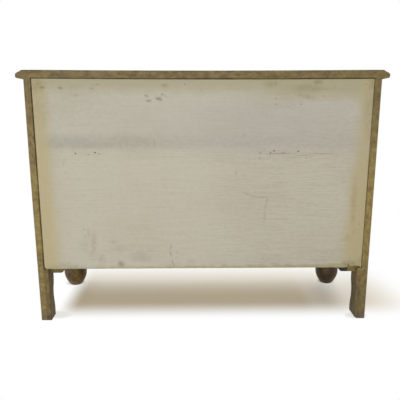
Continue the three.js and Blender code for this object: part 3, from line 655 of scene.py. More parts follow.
def back_paint(tree):
    """Thin off-white paint rolled over rotary-cut plywood: the grain telegraphs as fine level
    streaks, bronze overspray shades the edges, and handling has left smudges and specks."""
    low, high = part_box("back_panel")
    place, (across, _, height) = own_place(tree)
    patches, uneven, sway, flecks, mottle, streaks, wobble, fibres = patterns(
        tree, "x", BACK_PATTERNS
    )

    # Grain under the paint, wavier and bolder towards the right-hand end
    to_right = share(tree, (across, SHADE_END * MM, SHADE_START * MM, 1, 0))
    swing = share(tree, (to_right, 0, 1, *millimetres(*BACK_GRAIN_SWAY)), (sway, 0.3, 0.7, -1, 1))
    grain_place = add(tree, "ShaderNodeVectorMath", {
        "Vector": stretched(tree, "x", BACK_GRAIN_LENGTH),
        "Vector_001": add(tree, "ShaderNodeCombineXYZ", {"Z": swing}),
    })
    grain = add(tree, "ShaderNodeTexNoise", {
        "Vector": grain_place,
        "Scale": per_metre(BACK_GRAIN_SIZE),
    })
    bold = share(
        tree,
        (to_right, 0, 1, 0.5, 0.9),
        (height, *millimetres(*BOLD_GRAIN_BELOW), 1, 0.6),
    )

    # Painted broad shade, painted shade high up, a darker level band, and grain
    band_foot, band_low, band_high, band_top = [z * MM for z in DARK_BAND_HEIGHTS]
    tone = laid(tree, BACK_PAINT, [
        (STAIN, BACK_WARM, (patches, 0.35, 0.65)),
        (STAIN, BACK_SHADED, to_right),
        # Painted shade over the upper back
        (STAIN, BACK_UPPER_SHADE, (height, *millimetres(*BACK_SHADE_ABOVE))),
        (STAIN, BACK_COOL, marked(tree, place, COOL_CLOUD, LINE_SOFTNESS, {})),
        # A darker level band across the back, faint towards the -X end
        (
            STAIN,
            BACK_DARK_BAND,
            (height, band_foot, band_low),
            (height, band_high, band_top, 1, 0),
            (across, *millimetres(*DARK_BAND_FADE), DARK_BAND_FAINT, 1),
            (mottle, 0.35, 0.6, 0.85, 1.15),
        ),
        (STAIN, BACK_GRAIN_DARK, bold, (grain, 0.36, 0.68)),
        (STAIN, BACK_GRAIN_DARK, bold, (flecks, 0.42, 0.72, 0, 0.7)),
        (STAIN, BACK_GRAIN_DARK, (mottle, 0.4, 0.72, 0, 0.35)),
    ])

    # Overspray, which changes along the top between two shares of the way to the right-hand end
    ragged = add(tree, "ShaderNodeMix", {
        "Factor_Float": SPRAY_STREAK_SHARE,
        "A_Float": uneven,
        "B_Float": streaks,
    })
    edges = {
        "top": ((height, -1, high.z), (across, *[s * low.x for s in TOP_SPRAY_SHARES])),
        "foot": ((height, 1, low.z), (across, low.x, high.x)),
        "left": ((across, 1, low.x), (height, low.z, high.z)),
        "right": ((across, -1, high.x), (height, low.z, high.z)),
    }
    for name, ways in edges.items():
        tone = sprayed(tree, tone, SPRAYS[name], *ways, ragged)

    # Marks, drawn on a slightly wavering place so that none is a clean oval
    off = add(tree, "ShaderNodeVectorMath", {
        "Vector": wobble.outputs["Color"],
        "Vector_001": (0.5, 0.5, 0.5),
    }, operation="SUBTRACT")
    wavering = add(tree, "ShaderNodeVectorMath", {
        "Vector": off,
        "Vector_001": millimetres(*[2 * WOBBLE_REACH] * 3),
        "Vector_002": place,
    }, operation="MULTIPLY_ADD")
    shared = {}
    for marks, colour in ((RUST, BACK_RUST), (DIRT, BACK_DIRT), (SMUDGES, BACK_SMUDGE)):
        strongest = marked(tree, wavering, marks, MARK_SOFTNESS, shared)
        tone = laid(tree, tone, [(COVER, colour, strongest, (mottle, 0.35, 0.6, 0.6, 1))])
    lines = [mark for scratch in SCRATCHES for mark in along_line(*scratch)]
    arris = add(tree, "ShaderNodeAttribute", attribute_name="arris").outputs["Fac"]
    dirty = low.z + FOOT_DIRT_HEIGHT * MM
    clean = low.z + 2 * FOOT_DIRT_HEIGHT * MM
    tone = laid(tree, tone, [
        (COVER, BACK_SMUDGE, marked(tree, wavering, lines, LINE_SOFTNESS, shared)),
        (COVER, BACK_SPECK, marked(tree, place, SPECKS, SPECK_SOFTNESS, {})),
        (COVER, BACK_DIRT, (height, low.z, dirty, 1, 0), (mottle, 0.5, 0.62, 0.1, 0.9)),
        (COVER, BACK_WORN_EDGE, arris, (height, low.z, clean, 0, 0.8)),
    ])
    return surface(
        tree,
        tone,
        roughness=(grain, 0.3, 0.7, 0.72, 0.86),
        specular=0.3,
        relief=add(tree, "ShaderNodeMath", {"Value": grain, "Value_001": fibres}),
        strength=0.2,
        depth=0.4,
    )


# Bare wood inside
WOOD_LIGHT = linear("#B4956A")
WOOD_MID = linear("#A08055")
WOOD_DARK = linear("#7D5F3B")

# The oak's fibres too are drawn coarser than they are, so that they show
WOOD_PATTERNS = {
    "rings": (17, 12, {"Detail": 4.0, "Roughness": 0.6, "Distortion": 0.6}),
    "fibres": (1.6, 30, {}),
}


def bare_wood(tree, grain):
    """Planed and oiled oak, browned with age: growth rings drawn out along the grain, fine
    darker pores, and a dull surface."""
    rings, fibres = patterns(tree, grain, WOOD_PATTERNS)
    tone = laid(tree, WOOD_DARK, [
        (COVER, WOOD_MID, (rings, 0.36, 0.52)),
        (COVER, WOOD_LIGHT, (rings, 0.48, 0.66)),
        (COVER, WOOD_DARK, (fibres, 0.55, 0.75, 0, 0.5)),
    ])
    return surface(
        tree,
        tone,
        roughness=(fibres, 0.3, 0.7, 0.55, 0.72),
        relief=fibres,
        strength=0.25,
        depth=0.3,
    )


# Aged brass
BRASS_BRIGHT = linear("#B08D4A")
BRASS_DULL = linear("#7C6231")
BRASS_TARNISH = linear("#4E4024")
BRASS_PATTERNS = {
    "patches": (9, 1, {"Detail": 4.0}),
    "spots": (2.2, 1, {}),
}


def aged_brass(tree):
    """Cast and turned brass, long handled: bright where fingers rub, brown where tarnish stays."""
    patches, spots = patterns(tree, "z", BRASS_PATTERNS)
    tone = laid(tree, BRASS_DULL, [
        (COVER, BRASS_BRIGHT, (patches, 0.38, 0.62)),
        (COVER, BRASS_TARNISH, (spots, 0.58, 0.72, 0, 0.7)),
    ])
    return add(tree, "ShaderNodeBsdfPrincipled", {
        "Base Color": tone,
        "Metallic": 1.0,
        "Roughness": share(tree, (patches, 0.3, 0.7, 0.46, 0.3)),
    })


# Nail iron
NAIL_RUST = linear("#5A4E3A")
NAIL_PAINT = linear("#7D735C")
NAIL_PATTERNS = {"patches": (1.5, 1, {})}


def rusted_iron(tree):
    """Small steel heads, rusted brown under thin paint."""
    patches, = patterns(tree, "z", NAIL_PATTERNS)
    return add(tree, "ShaderNodeBsdfPrincipled", {
        "Base Color": laid(tree, NAIL_RUST, [(COVER, NAIL_PAINT, (patches, 0.4, 0.6))]),
        "Roughness": 0.7,
    })


MATERIALS = {
    "bronze_paint": {g: painted(f"brushed_bronze_paint_grain_{g}", bronze_paint, g) for g in AXES},
    "bare_wood": {g: painted(f"oiled_oak_grain_{g}", bare_wood, g) for g in AXES},
    "back_paint": painted("off_white_paint_on_plywood", back_paint),
    "foot_paint": painted("waxed_bronze_paint", waxed_foot_paint),
    "old_brass": painted("aged_brass", aged_brass),
    "nail_iron": painted("rusted_nail_iron", rusted_iron),
}


def mesh_of(name, work):
    """The worked geometry as a mesh of that name."""
    mesh = bpy.data.meshes.new(name)
    work.to_mesh(mesh)
    work.free()
    return mesh


def in_scene(name, data):
    """A new object of that name in the scene."""
    item = bpy.data.objects.new(name, data)
    bpy.context.scene.collection.objects.link(item)
    return item


def finish_piece(work, name, node, material, replaces=True):
    """Turns worked geometry into a piece that rides with its node's body."""
    bmesh.ops.recalc_face_normals(work, faces=work.faces)
    for face in work.faces:
        face.smooth = True
    for edge in work.edges:
        edge.smooth = edge.calc_face_angle(math.pi) < SMOOTH_ANGLE
    piece = in_scene(name, mesh_of(name, work))
    piece.data.materials.append(material)
    piece.modifiers.new("even_flats", "WEIGHTED_NORMAL").keep_sharp = True
    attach(piece, BODY_OF[node])
    if replaces:
        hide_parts(node)


# Eased and worn woodwork
TOP_SAG = 2.4
TOP_SAG_HALF = 560
TOP_SAG_DEPTHS = (150, 208)
LEG_LEAN = 3.3
LEG_LEAN_TOP = 520
LEG_ARRIS = 8
TOE_ACROSS = 18
TOE_RISE = 15
TOE_REACH = 20
TOE_SPACING = 3
SOLIDS = {
    name: BVHTree.FromPolygons(
        [vert.co for vert in solid.data.vertices],
        [face.vertices for face in solid.data.polygons],
    )
    for name, solid in frame["nodes"].items()
}
BOXES = {name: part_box(name) for name in frame["nodes"]}


def in_another(point, owner):
    """Whether the point lies inside a piece other than its owner."""
    for name, (low, high) in BOXES.items():
        if name == owner or any(not low[i] <= point[i] <= high[i] for i in range(3)):
            continue
        spot, normal, _, _ = SOLIDS[name].find_nearest(point)
        if (point - spot).dot(normal) < 0:
            return True
    return False


def is_free_arris(edge, owner):
    """A sharp outer edge with no other piece against either of its faces."""
    if len(edge.link_faces) != 2 or edge.calc_face_angle_signed(0) < SHARP_ANGLE:
        return False
    middle = (edge.verts[0].co + edge.verts[1].co) / 2
    for loop in edge.link_loops:
        along = (loop.link_loop_next.vert.co - loop.vert.co).normalized()
        inward = loop.face.normal.cross(along)
        if in_another(middle + (loop.face.normal + inward) * TOUCH_REACH * MM, owner):
            return False
    return True


def welded(node):
    """The node's solid as one closed mesh with whole flat faces."""
    work = bmesh.new()
    work.from_mesh(frame["nodes"][node].data)
    bmesh.ops.remove_doubles(work, verts=work.verts, dist=WELD_REACH * MM)
    bmesh.ops.dissolve_limit(work, angle_limit=FLAT_ANGLE, verts=work.verts, edges=work.edges)
    return work


def cut_across(work, axis, places):
    """Cuts the mesh across an axis at each of the places along it."""
    normal = Vector([float(a == axis) for a in AXES])
    for place in places:
        geometry = [*work.verts, *work.edges, *work.faces]
        bmesh.ops.bisect_plane(work, geom=geometry, plane_co=normal * place, plane_no=normal)
    return work


def sliced(work, axis, spacing=SLICE_LENGTH):
    """Cuts the mesh into short lengths along an axis, clear of the corners that it has."""
    taken = [v.co[AXES.index(axis)] for v in work.verts]
    low, high = min(taken), max(taken)
    steps = int((high - low) / (spacing * MM))
    places = [low + (high - low) * i / steps for i in range(1, steps)]
    clear = [p for p in places if min(abs(p - t) for t in taken) >= SLICE_MARGIN * MM]
    return cut_across(work, axis, clear)


def mark_broad_faces(work, grain):
    """Marks the flat faces that are wide enough across their grain for long brush strokes."""
    broad = work.faces.layers.float.new("broad")
    work.normal_update()
    sizes = [max(v.co[i] for v in work.verts) - min(v.co[i] for v in work.verts) for i in range(3)]
    for face in work.faces:
        facing = max(range(3), key=lambda i: abs(face.normal[i]))
        across = next(i for i in range(3) if i != facing and AXES[i] != grain)
        face[broad] = float(AXES[facing] != grain and sizes[across] > BROAD_WIDTH * MM)


def rounded(work, edges, ease):
    """Rounds edges over and gives back the faces that this makes."""
    return bmesh.ops.bevel(
        work,
        geom=edges,
        offset=ease * MM,
        offset_type="OFFSET",
        segments=EASE_STEPS,
        profile=0.5,
        affect="EDGES",
        clamp_overlap=True,
    )["faces"]


def ease_arrises(work, owner, ease, wear):
    """Rounds every free arris, marks it for the paint, and rubs it down unevenly."""
    arris = work.faces.layers.float.new("arris")
    work.normal_update()
    for face in rounded(work, [e for e in work.edges if is_free_arris(e, owner)], ease):
        face[arris] = 1
    work.normal_update()
    for vert in work.verts:
        if all(face[arris] for face in vert.link_faces):
            rubbed = max(0, noise.noise(vert.co * per_metre(WEAR_PATCH)) + WEAR_RAISED)
            dented = max(0, noise.noise(vert.co * per_metre(DENT_PATCH)) - DENT_SPARED)
            vert.co -= vert.normal * wear * MM * (rubbed + DENT_TIMES * dented)


def sag_at(x):
    """How far the rear edge of the top board has sunk at a place across."""
    return TOP_SAG * MM * max(0, 1 - (x / (TOP_SAG_HALF * MM)) ** 2)


def sag_rear_edge(work):
    """Lets the rear edge of the top board sink a little between the posts."""
    start, end = [y * MM for y in TOP_SAG_DEPTHS]
    for vert in work.verts:
        rearward = min(1, max(0, (vert.co.y - start) / (end - start)))
        vert.co.z -= sag_at(vert.co.x) * rearward ** 2


def lean_outer_face(work):
    """Draws the outer face of the right-hand leg in a little towards the floor."""
    outer = max(v.co.x for v in work.verts)
    for vert in work.verts:
        if vert.co.x > outer - LEG_ARRIS * MM:
            vert.co.x -= LEG_LEAN * MM * max(0, 1 - vert.co.z / (LEG_LEAN_TOP * MM))


def round_off_toe(work):
    """Wears the inner lower corner of the left-hand leg round."""
    inner = max(v.co.x for v in work.verts)
    for vert in work.verts:
        near = 1 - min(1, (inner - vert.co.x) / (TOE_ACROSS * MM))
        lift = TOE_RISE * MM * (1 - math.sqrt(1 - near ** 2))
        vert.co.z += lift * max(0, 1 - vert.co.z / (TOE_REACH * MM))


WORN_SHAPES = {
    "top_board": sag_rear_edge,
    "rear_post_right": lean_outer_face,
    "rear_post_left": round_off_toe,
}


def make_woodwork():
    """Every wooden piece but the back panel, worked as its kind is."""
    for node in frame["nodes"]:
        kind = next((k for k in WOODWORK if node.startswith(k)), None)
        if kind is None:
            continue
        grain, ease, wear = WOODWORK[kind]
        work = sliced(welded(node), grain)
        if node == "rear_post_left":
            inner = round(BOXES[node][1].x / MM)
            cut_across(work, "x", [x * MM for x in range(inner - TOE_ACROSS, inner, TOE_SPACING)])
        mark_broad_faces(work, grain)
        ease_arrises(work, node, ease, wear)
        if node in WORN_SHAPES:
            WORN_SHAPES[node](work)
        finish_piece(work, f"{node}_worked", node, MATERIALS[SLOT_OF[node]][grain])


# The back panel, bowed a little, with chipped and rounded lower corners
PANEL_SPACING = 11
PANEL_EASE = 0.9
PANEL_WEAR = 0.4
PANEL_BOW = 0.9
PANEL_BOW_SIZE = 420
PANEL_BOW_RAISED = 0.5
PANEL_RAGGED = 0.8
PANEL_RAGGED_SIZE = 30
PANEL_TOP_DROP = (0.8, 2.4)
PANEL_SPREAD_RIGHT = (1.2, 2.6)
PANEL_SPREAD_LEFT = (0.3, 0.6)
NEAR_EDGE_POWER = 8
CHIP_REACH = 30
CHIP_SPACING = 3
CHIP_STEEPNESS = 5
CHIP_RAGGED_SIZE = 5
CHIP_RAGGED_SHARE = 0.6
CHIPS = [
    {"middle": -547, "half": 26, "rise": 7},
    {"middle": -530, "half": 5, "rise": 5},
    {"middle": 578, "half": 12, "rise": 6},
]


def chip_rise(x, chip):
    """How far a chip lifts the panel's lower edge at a place across."""
    away = abs(x - chip["middle"] * MM) / (chip["half"] * MM)
    ragged = 1 + CHIP_RAGGED_SHARE * noise.noise(Vector((x * per_metre(CHIP_RAGGED_SIZE), 0, 0)))
    return chip["rise"] * MM * max(0, min(1, CHIP_STEEPNESS * (1 - away))) * ragged


def make_back_panel():
    """The thin panel: sagged with the top board, bowed, spread at its ends and chipped below."""
    low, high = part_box("back_panel")
    work = sliced(sliced(welded("back_panel"), "x", PANEL_SPACING), "z", PANEL_SPACING)
    for chip in CHIPS:
        places = range(chip["middle"] - chip["half"], chip["middle"] + chip["half"], CHIP_SPACING)
        cut_across(work, "x", [x * MM for x in places])
    ease_arrises(work, "back_panel", PANEL_EASE, PANEL_WEAR)
    for vert in work.verts:
        x, _, z = vert.co
        up = (z - low.z) / (high.z - low.z)
        to_right_end = (x - low.x) / (high.x - low.x)
        to_left_end = 1 - to_right_end
        near_foot = max(0, 1 - (z - low.z) / (CHIP_REACH * MM))
        lift = sum(chip_rise(x, chip) for chip in CHIPS)
        ragged = abs(noise.noise(Vector((x * per_metre(PANEL_RAGGED_SIZE), 0, 0))))
        lift += PANEL_RAGGED * MM * ragged
        drop = PANEL_TOP_DROP[0] * to_right_end + PANEL_TOP_DROP[1] * to_left_end
        vert.co.z += lift * near_foot - (drop * MM + sag_at(x)) * up ** NEAR_EDGE_POWER
        left, right = [(1 - up) * s[0] + up * s[1] for s in (PANEL_SPREAD_LEFT, PANEL_SPREAD_RIGHT)]
        spread = right * to_right_end ** NEAR_EDGE_POWER - left * to_left_end ** NEAR_EDGE_POWER
        vert.co.x += spread * MM
        bow = noise.noise(Vector((x, z, 0)) * per_metre(PANEL_BOW_SIZE)) + PANEL_BOW_RAISED
        vert.co.y -= PANEL_BOW * MM * max(0, bow) * math.sin(math.pi * up)
    finish_piece(work, "back_panel_worked", "back_panel", MATERIALS["back_paint"])


make_woodwork()
make_back_panel()


def placed(work, seat, tip=0, about="X"):
    """A shape tipped about an axis through the origin, in degrees, then moved to its seat."""
    bmesh.ops.rotate(work, verts=work.verts, matrix=Matrix.Rotation(math.radians(tip), 3, about))
    bmesh.ops.translate(work, verts=work.verts, vec=seat)
    return work


def turned(profile, segments, seat, tip=0, about="X"):
    """Pairs of a radius and a height, turned about the Z axis into a closed shape and placed."""
    work = bmesh.new()
    rings = []
    for radius, height in profile:
        count = segments if radius > 0 else 1
        turns = [2 * math.pi * i / segments for i in range(count)]
        rings.append([
            work.verts.new(millimetres(radius * math.cos(t), radius * math.sin(t), height))
            for t in turns
        ])
    for lower, upper in zip(rings, rings[1:]):
        for i in range(segments):
            here = i % len(lower), i % len(upper)
            there = (i + 1) % len(lower), (i + 1) % len(upper)
            corners = [lower[here[0]], lower[there[0]], upper[there[1]], upper[here[1]]]
            work.faces.new(list(dict.fromkeys(corners)))
    return placed(work, seat, tip, about)


def arc(middle, radius, start, end, steps):
    """Points on an arc between two angles in degrees, radius and height scaled apart."""
    points = []
    for i in range(steps + 1):
        turn = math.radians(start + (end - start) * i / steps)
        points.append((
            middle[0] + radius[0] * math.cos(turn),
            middle[1] + radius[1] * math.sin(turn),
        ))
    return points


def dome(radius, height, steps):
    """Points from the rim of a low dome to its top."""
    return arc((0, 0), (radius, height), 0, 90, steps)[:-1] + [(0, height)]


def swell(start, pull, end, steps):
    """Points after the first on a curve from its start to its end, drawn towards one pull."""
    points = []
    for i in range(1, steps + 1):
        t = i / steps
        points.append(tuple(
            (1 - t) ** 2 * s + 2 * t * (1 - t) * p + t * t * e
            for s, p, e in zip(start, pull, end)
        ))
    return points


# The bun foot, in millimetres from its base
FOOT_BASE_RADIUS = 25
FOOT_BASE_EASE = 1.5
FOOT_FLANK_HEIGHT = 28
FOOT_RADIUS = 48
FOOT_BELLY_HEIGHT = 60
FOOT_NECK_RADIUS = 30
FOOT_SHOULDER = 95
FOOT_COLLAR_RADIUS = 33
FOOT_HEIGHT = 100
FOOT_SPIGOT_RADIUS = 14
FOOT_SPIGOT_TOP = 140
FOOT_STEPS = 20
FOOT_COLLAR_STEPS = 8
FOOT_SEGMENTS = 72


def make_bun_foot(node):
    """A bun foot with straight lower flanks, a high belly, a collar and its spigot."""
    low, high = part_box(node)
    base = (FOOT_BASE_RADIUS, FOOT_BASE_EASE)
    belly = (FOOT_RADIUS, FOOT_BELLY_HEIGHT)
    neck = (FOOT_NECK_RADIUS, FOOT_SHOULDER)
    collar = (FOOT_HEIGHT - FOOT_SHOULDER) / 2
    bead = (FOOT_COLLAR_RADIUS - collar, FOOT_SHOULDER + collar)
    profile = [(0, 0), (FOOT_BASE_RADIUS - FOOT_BASE_EASE, 0), base]
    profile += swell(base, (FOOT_RADIUS, FOOT_FLANK_HEIGHT), belly, FOOT_STEPS)
    profile += swell(belly, (FOOT_RADIUS, FOOT_SHOULDER), neck, FOOT_STEPS)
    profile += arc(bead, (collar, collar), -90, 90, FOOT_COLLAR_STEPS)
    profile += [(FOOT_SPIGOT_RADIUS, FOOT_HEIGHT), (FOOT_SPIGOT_RADIUS, FOOT_SPIGOT_TOP)]
    profile += [(0, FOOT_SPIGOT_TOP)]
    work = turned(profile, FOOT_SEGMENTS, ((low.x + high.x) / 2, (low.y + high.y) / 2, 0))
    finish_piece(work, f"{node}_turned", node, MATERIALS["foot_paint"])


# Brass fittings
KNOB_SEGMENTS = 48
KNOB_PROJECTION = 24
KNOB_HEAD_RADIUS = 15
KNOB_HEAD_HALF = 6
KNOB_NECK_RADIUS = 6
KNOB_BASE_RADIUS = 11
KNOB_BASE_THICKNESS = 4
KNOB_SPIGOT_RADIUS = 4
KNOB_SPIGOT_LENGTH = 12
KNOB_BUTTON_RADIUS = 5
KNOB_GROOVE = 0.7
CURVE_STEPS = 10


def knob_profile():
    """A mushroom knob on a beaded rose, in radius and height from the wood."""
    bead = KNOB_BASE_THICKNESS / 4
    middle = KNOB_PROJECTION - KNOB_HEAD_HALF
    start = -math.degrees(math.acos(KNOB_NECK_RADIUS / KNOB_HEAD_RADIUS))
    button = math.degrees(math.acos(KNOB_BUTTON_RADIUS / KNOB_HEAD_RADIUS))
    profile = [
        (0, -KNOB_SPIGOT_LENGTH),
        (KNOB_SPIGOT_RADIUS, -KNOB_SPIGOT_LENGTH),
        (KNOB_SPIGOT_RADIUS, 0),
    ]
    profile += arc((KNOB_BASE_RADIUS - bead, bead), (bead, bead), -90, 90, CURVE_STEPS)
    rim = (KNOB_BASE_RADIUS - 2 * bead, 2 * bead)
    neck = (KNOB_NECK_RADIUS, 2 * KNOB_BASE_THICKNESS)
    profile += [rim] + swell(rim, (KNOB_NECK_RADIUS, rim[1]), neck, CURVE_STEPS)
    profile += arc((0, middle), (KNOB_HEAD_RADIUS, KNOB_HEAD_HALF), start, button, 3 * CURVE_STEPS)
    radius, height = profile[-1]
    profile += [(radius - KNOB_GROOVE, height - KNOB_GROOVE), (radius - 2 * KNOB_GROOVE, height)]
    crown = (KNOB_BUTTON_RADIUS / 2, KNOB_PROJECTION)
    profile += swell(profile[-1], crown, (0, KNOB_PROJECTION), CURVE_STEPS)
    return profile


def make_knob(node):
    """A knob whose axis points forwards from the wood."""
    low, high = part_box(node)
    seat = ((low.x + high.x) / 2, low.y + KNOB_PROJECTION * MM, (low.z + high.z) / 2)
    work = turned(knob_profile(), KNOB_SEGMENTS, seat, 90)
    finish_piece(work, f"{node}_turned", node, MATERIALS["old_brass"])


# Hinges: leaves with countersunk screws, and a domed tip at each end of the pin
SCREW_HEAD_RADIUS = 3.3
SCREW_SHANK_RADIUS = 1.5
SCREW_HEAD_DEPTH = 1.5
SCREW_SLOT_HALF = 0.35
SCREW_SLOT_DEPTH = 0.6
SCREW_SEGMENTS = 24
SCREW_PLACES = (11, 38, 65)
SCREW_TURNS = (25, 75, 125)
SCREW_STAGGER = (-4, 4, -4)
SCREW_CLEARANCE = 0.15
SCREW_OVERRUN = 0.5
LEAF_DEPTH = 22
LEAF_THICKNESS = 2
HINGE_TIP_RADIUS = 3
HINGE_TIP_HEIGHT = 2
HINGE_BARREL_RADIUS = 4


def carved(work, cutters):
    """The worked geometry with the shape of each cutter taken out of it."""
    parts = [in_scene("rough_part", mesh_of("rough_part", shape)) for shape in (work, *cutters)]
    for cutter in parts[1:]:
        cut = parts[0].modifiers.new("cut", "BOOLEAN")
        cut.object = cutter
        cut.solver = "EXACT"
    result = bmesh.new()
    result.from_object(parts[0], bpy.context.evaluated_depsgraph_get())
    for part in parts:
        mesh = part.data
        bpy.data.objects.remove(part)
        bpy.data.meshes.remove(mesh)
    return result


def joined(shapes):
    """Several closed shapes as the loose parts of one."""
    whole = bmesh.new()
    for shape in shapes:
        mesh = mesh_of("rough_part", shape)
        whole.from_mesh(mesh)
        bpy.data.meshes.remove(mesh)
    return whole


def block(low, high):
    """A plain block between two corners in millimetres, to cut with or to work further."""
    work = bmesh.new()
    bmesh.ops.create_cube(work, size=1)
    size = Vector(high) - Vector(low)
    bmesh.ops.scale(work, verts=work.verts, vec=size * MM)
    return placed(work, (Vector(low) + size / 2) * MM)


def screw(clearance, top, seat, facing):
    """A countersunk screw up to its face, or the hole that takes it, along X to either side."""
    head = SCREW_HEAD_RADIUS + clearance
    shank = SCREW_SHANK_RADIUS + clearance
    foot = -LEAF_THICKNESS - top
    profile = [(0, foot), (shank, foot), (shank, -SCREW_HEAD_DEPTH)]
    profile += [(head, 0), (head, top), (0, top)]
    return turned(profile, SCREW_SEGMENTS, seat, 90 * facing, "Y")


def make_hinge_leaf(node):
    """A drilled leaf and its screws, and the tips of the pin where it is the frame's leaf."""
    on_frame = "frame_leaf" in node
    facing = 1 if node.endswith("right") != on_frame else -1
    work = welded(node)
    back = max(v.co.y for v in work.verts)
    plate = [v.co for v in work.verts if v.co.y > back - LEAF_DEPTH * MM / 2]
    face_x = facing * max(facing * corner.x for corner in plate)
    foot = min(corner.z for corner in plate)
    seats = [
        Vector((face_x, back + (stagger - LEAF_DEPTH / 2) * MM, foot + place * MM))
        for place, stagger in zip(SCREW_PLACES, SCREW_STAGGER)
    ]
    holes = [screw(SCREW_CLEARANCE, SCREW_OVERRUN, seat, facing) for seat in seats]
    finish_piece(carved(work, holes), f"{node}_drilled", node, MATERIALS["old_brass"])

    half = Vector((SCREW_SLOT_DEPTH, 2 * SCREW_HEAD_RADIUS, SCREW_SLOT_HALF))
    screws = [
        carved(screw(0, 0, seat, facing), [placed(block(-half, half), seat, turn)])
        for seat, turn in zip(seats, SCREW_TURNS)
    ]
    finish_piece(joined(screws), f"{node}_screws", node, MATERIALS["old_brass"], replaces=False)
    if on_frame:
        make_hinge_tips(node)


def make_hinge_tips(node):
    """A low dome at each end of the pin that the frame's leaf holds."""
    low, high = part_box(node)
    axis = ((low.x + high.x) / 2, low.y + HINGE_BARREL_RADIUS * MM)
    profile = [(0, 0)] + dome(HINGE_TIP_RADIUS, HINGE_TIP_HEIGHT, CURVE_STEPS)
    tips = [
        turned(profile, SCREW_SEGMENTS, (*axis, end), tip)
        for end, tip in ((high.z - HINGE_TIP_HEIGHT * MM, 0), (low.z + HINGE_TIP_HEIGHT * MM, 180))
    ]
    finish_piece(joined(tips), f"{node}_tips", node, MATERIALS["old_brass"], replaces=False)


for word in ("left", "right"):
    make_bun_foot(f"bun_foot_{word}")
for node in BODY_OF:
    if "_knob_" in node:
        make_knob(node)
for node in BODY_OF:
    if node.startswith("hinge_"):
        make_hinge_leaf(node)


# The double catch behind the doors: a cast body that holds two rollers
CATCH_EASE = 1.2
CATCH_BODY_SHARE = 0.72
CATCH_ROLLER_RADIUS = 4
CATCH_ROLLER_LENGTH = 14
CATCH_ROLLER_RIM = 1
CATCH_ROLLER_STEPS = 4


def make_door_catch():
    low, high = [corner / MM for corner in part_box("door_catch")]
    foot = high.z - (high.z - low.z) * CATCH_BODY_SHARE
    body = block((low.x, low.y, foot), high)
    rounded(body, body.edges[:], CATCH_EASE)
    half = CATCH_ROLLER_LENGTH / 2
    rim = (CATCH_ROLLER_RIM, CATCH_ROLLER_RIM)
    flat = CATCH_ROLLER_RADIUS - CATCH_ROLLER_RIM
    profile = [(0, -half), (flat, -half)]
    profile += arc((flat, CATCH_ROLLER_RIM - half), rim, -90, 0, CATCH_ROLLER_STEPS)
    profile += arc((flat, half - CATCH_ROLLER_RIM), rim, 0, 90, CATCH_ROLLER_STEPS) + [(0, half)]
    parts = [body]
    for side in (-1, 1):
        seat = millimetres(
            side * (high.x - low.x) / 4,
            (low.y + high.y) / 2,
            low.z + CATCH_ROLLER_RADIUS,
        )
        parts.append(turned(profile, SCREW_SEGMENTS, seat, 90, "Y"))
    finish_piece(joined(parts), "door_catch_cast", "door_catch", MATERIALS["old_brass"])


# Nails along the head of the back panel
NAIL_PLACES = ((554, 851), (354, 850), (63, 850), (-244, 851), (-548, 850))
NAIL_RADIUS = 1.9
NAIL_STAND = 0.5
NAIL_SHANK = 2
NAIL_STEPS = 5


def make_back_nails():
    """Flat-headed nails, driven almost flush and painted over."""
    surface_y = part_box("back_panel")[1].y - PANEL_BOW * MM / 4
    profile = [(0, -NAIL_SHANK), (NAIL_RADIUS, -NAIL_SHANK)]
    profile += dome(NAIL_RADIUS, NAIL_STAND, NAIL_STEPS)
    heads = joined([
        turned(profile, SCREW_SEGMENTS, (x * MM, surface_y, z * MM), -90)
        for x, z in NAIL_PLACES
    ])
    finish_piece(heads, "back_panel_nails", "back_panel", MATERIALS["nail_iron"], replaces=False)


make_door_catch()
make_back_nails()


# The floor, the light and the camera
FLOOR_RADIUS = 9.0
FLOOR_SEGMENTS = 64
FLOOR_COLOUR = linear("#F6F5F2")
# Painted warm shade: the floor is a darker cream where the shade lies beneath the chiffonier
FLOOR_SHADED = linear("#E8D08F")
FLOOR_SHADED_AT = 0.2
SHADE_LIFT = 0.1
AMBIENT = 0.4

# Where each foot darkens the floor that it stands on, in millimetres: the place, the reach across
# and along, and the strength, which holds over the core of that reach
CONTACT_CORE = 0.4
CONTACT_SHADES = [
    (552, -158, 55, 46, 0.8),
    (-552, -158, 55, 46, 0.9),
    (545, 168, 80, 46, 0.3),
    (-575, 190, 60, 40, 0.3),
]

# Where the shade beneath the chiffonier begins and ends on the floor, in millimetres: along one
# axis, from a place where it has one strength to a place where it has another
SHADE_EDGES = [
    ("X", 484, 576, 1, 0),
    ("X", 430, 475, 1, 1.03),
    ("X", -610, -490, 0.62, 0.91),
    ("X", -450, -395, 0.92, 1),
    ("X", -900, -640, 0, 1),
    ("Y", -450, 20, 0, 1),
    ("Y", 55, 225, 1, 0),
]

# Softboxes: where each stands, how wide it is, in metres, and its power in watts
SOFTBOXES = {
    "softbox_overhead": ((0.3, 0.0, 4.8), 4.0, 55),
    "softbox_behind": ((0.9, 5.4, 0.9), 3.4, 185),
    "softbox_front": ((-1.8, -5.2, 1.4), 3.0, 150),
}


def seen_directly(tree):
    """Whether the ray comes from the camera, a mirror or clear glass, as one of 0 and 1."""
    path = add(tree, "ShaderNodeLightPath")
    seen = 0.0
    for ray in ("Is Camera Ray", "Is Glossy Ray", "Is Transmission Ray"):
        seen = add(tree, "ShaderNodeMath", {
            "Value": seen,
            "Value_001": path.outputs[ray],
        }, operation="MAXIMUM")
    return seen


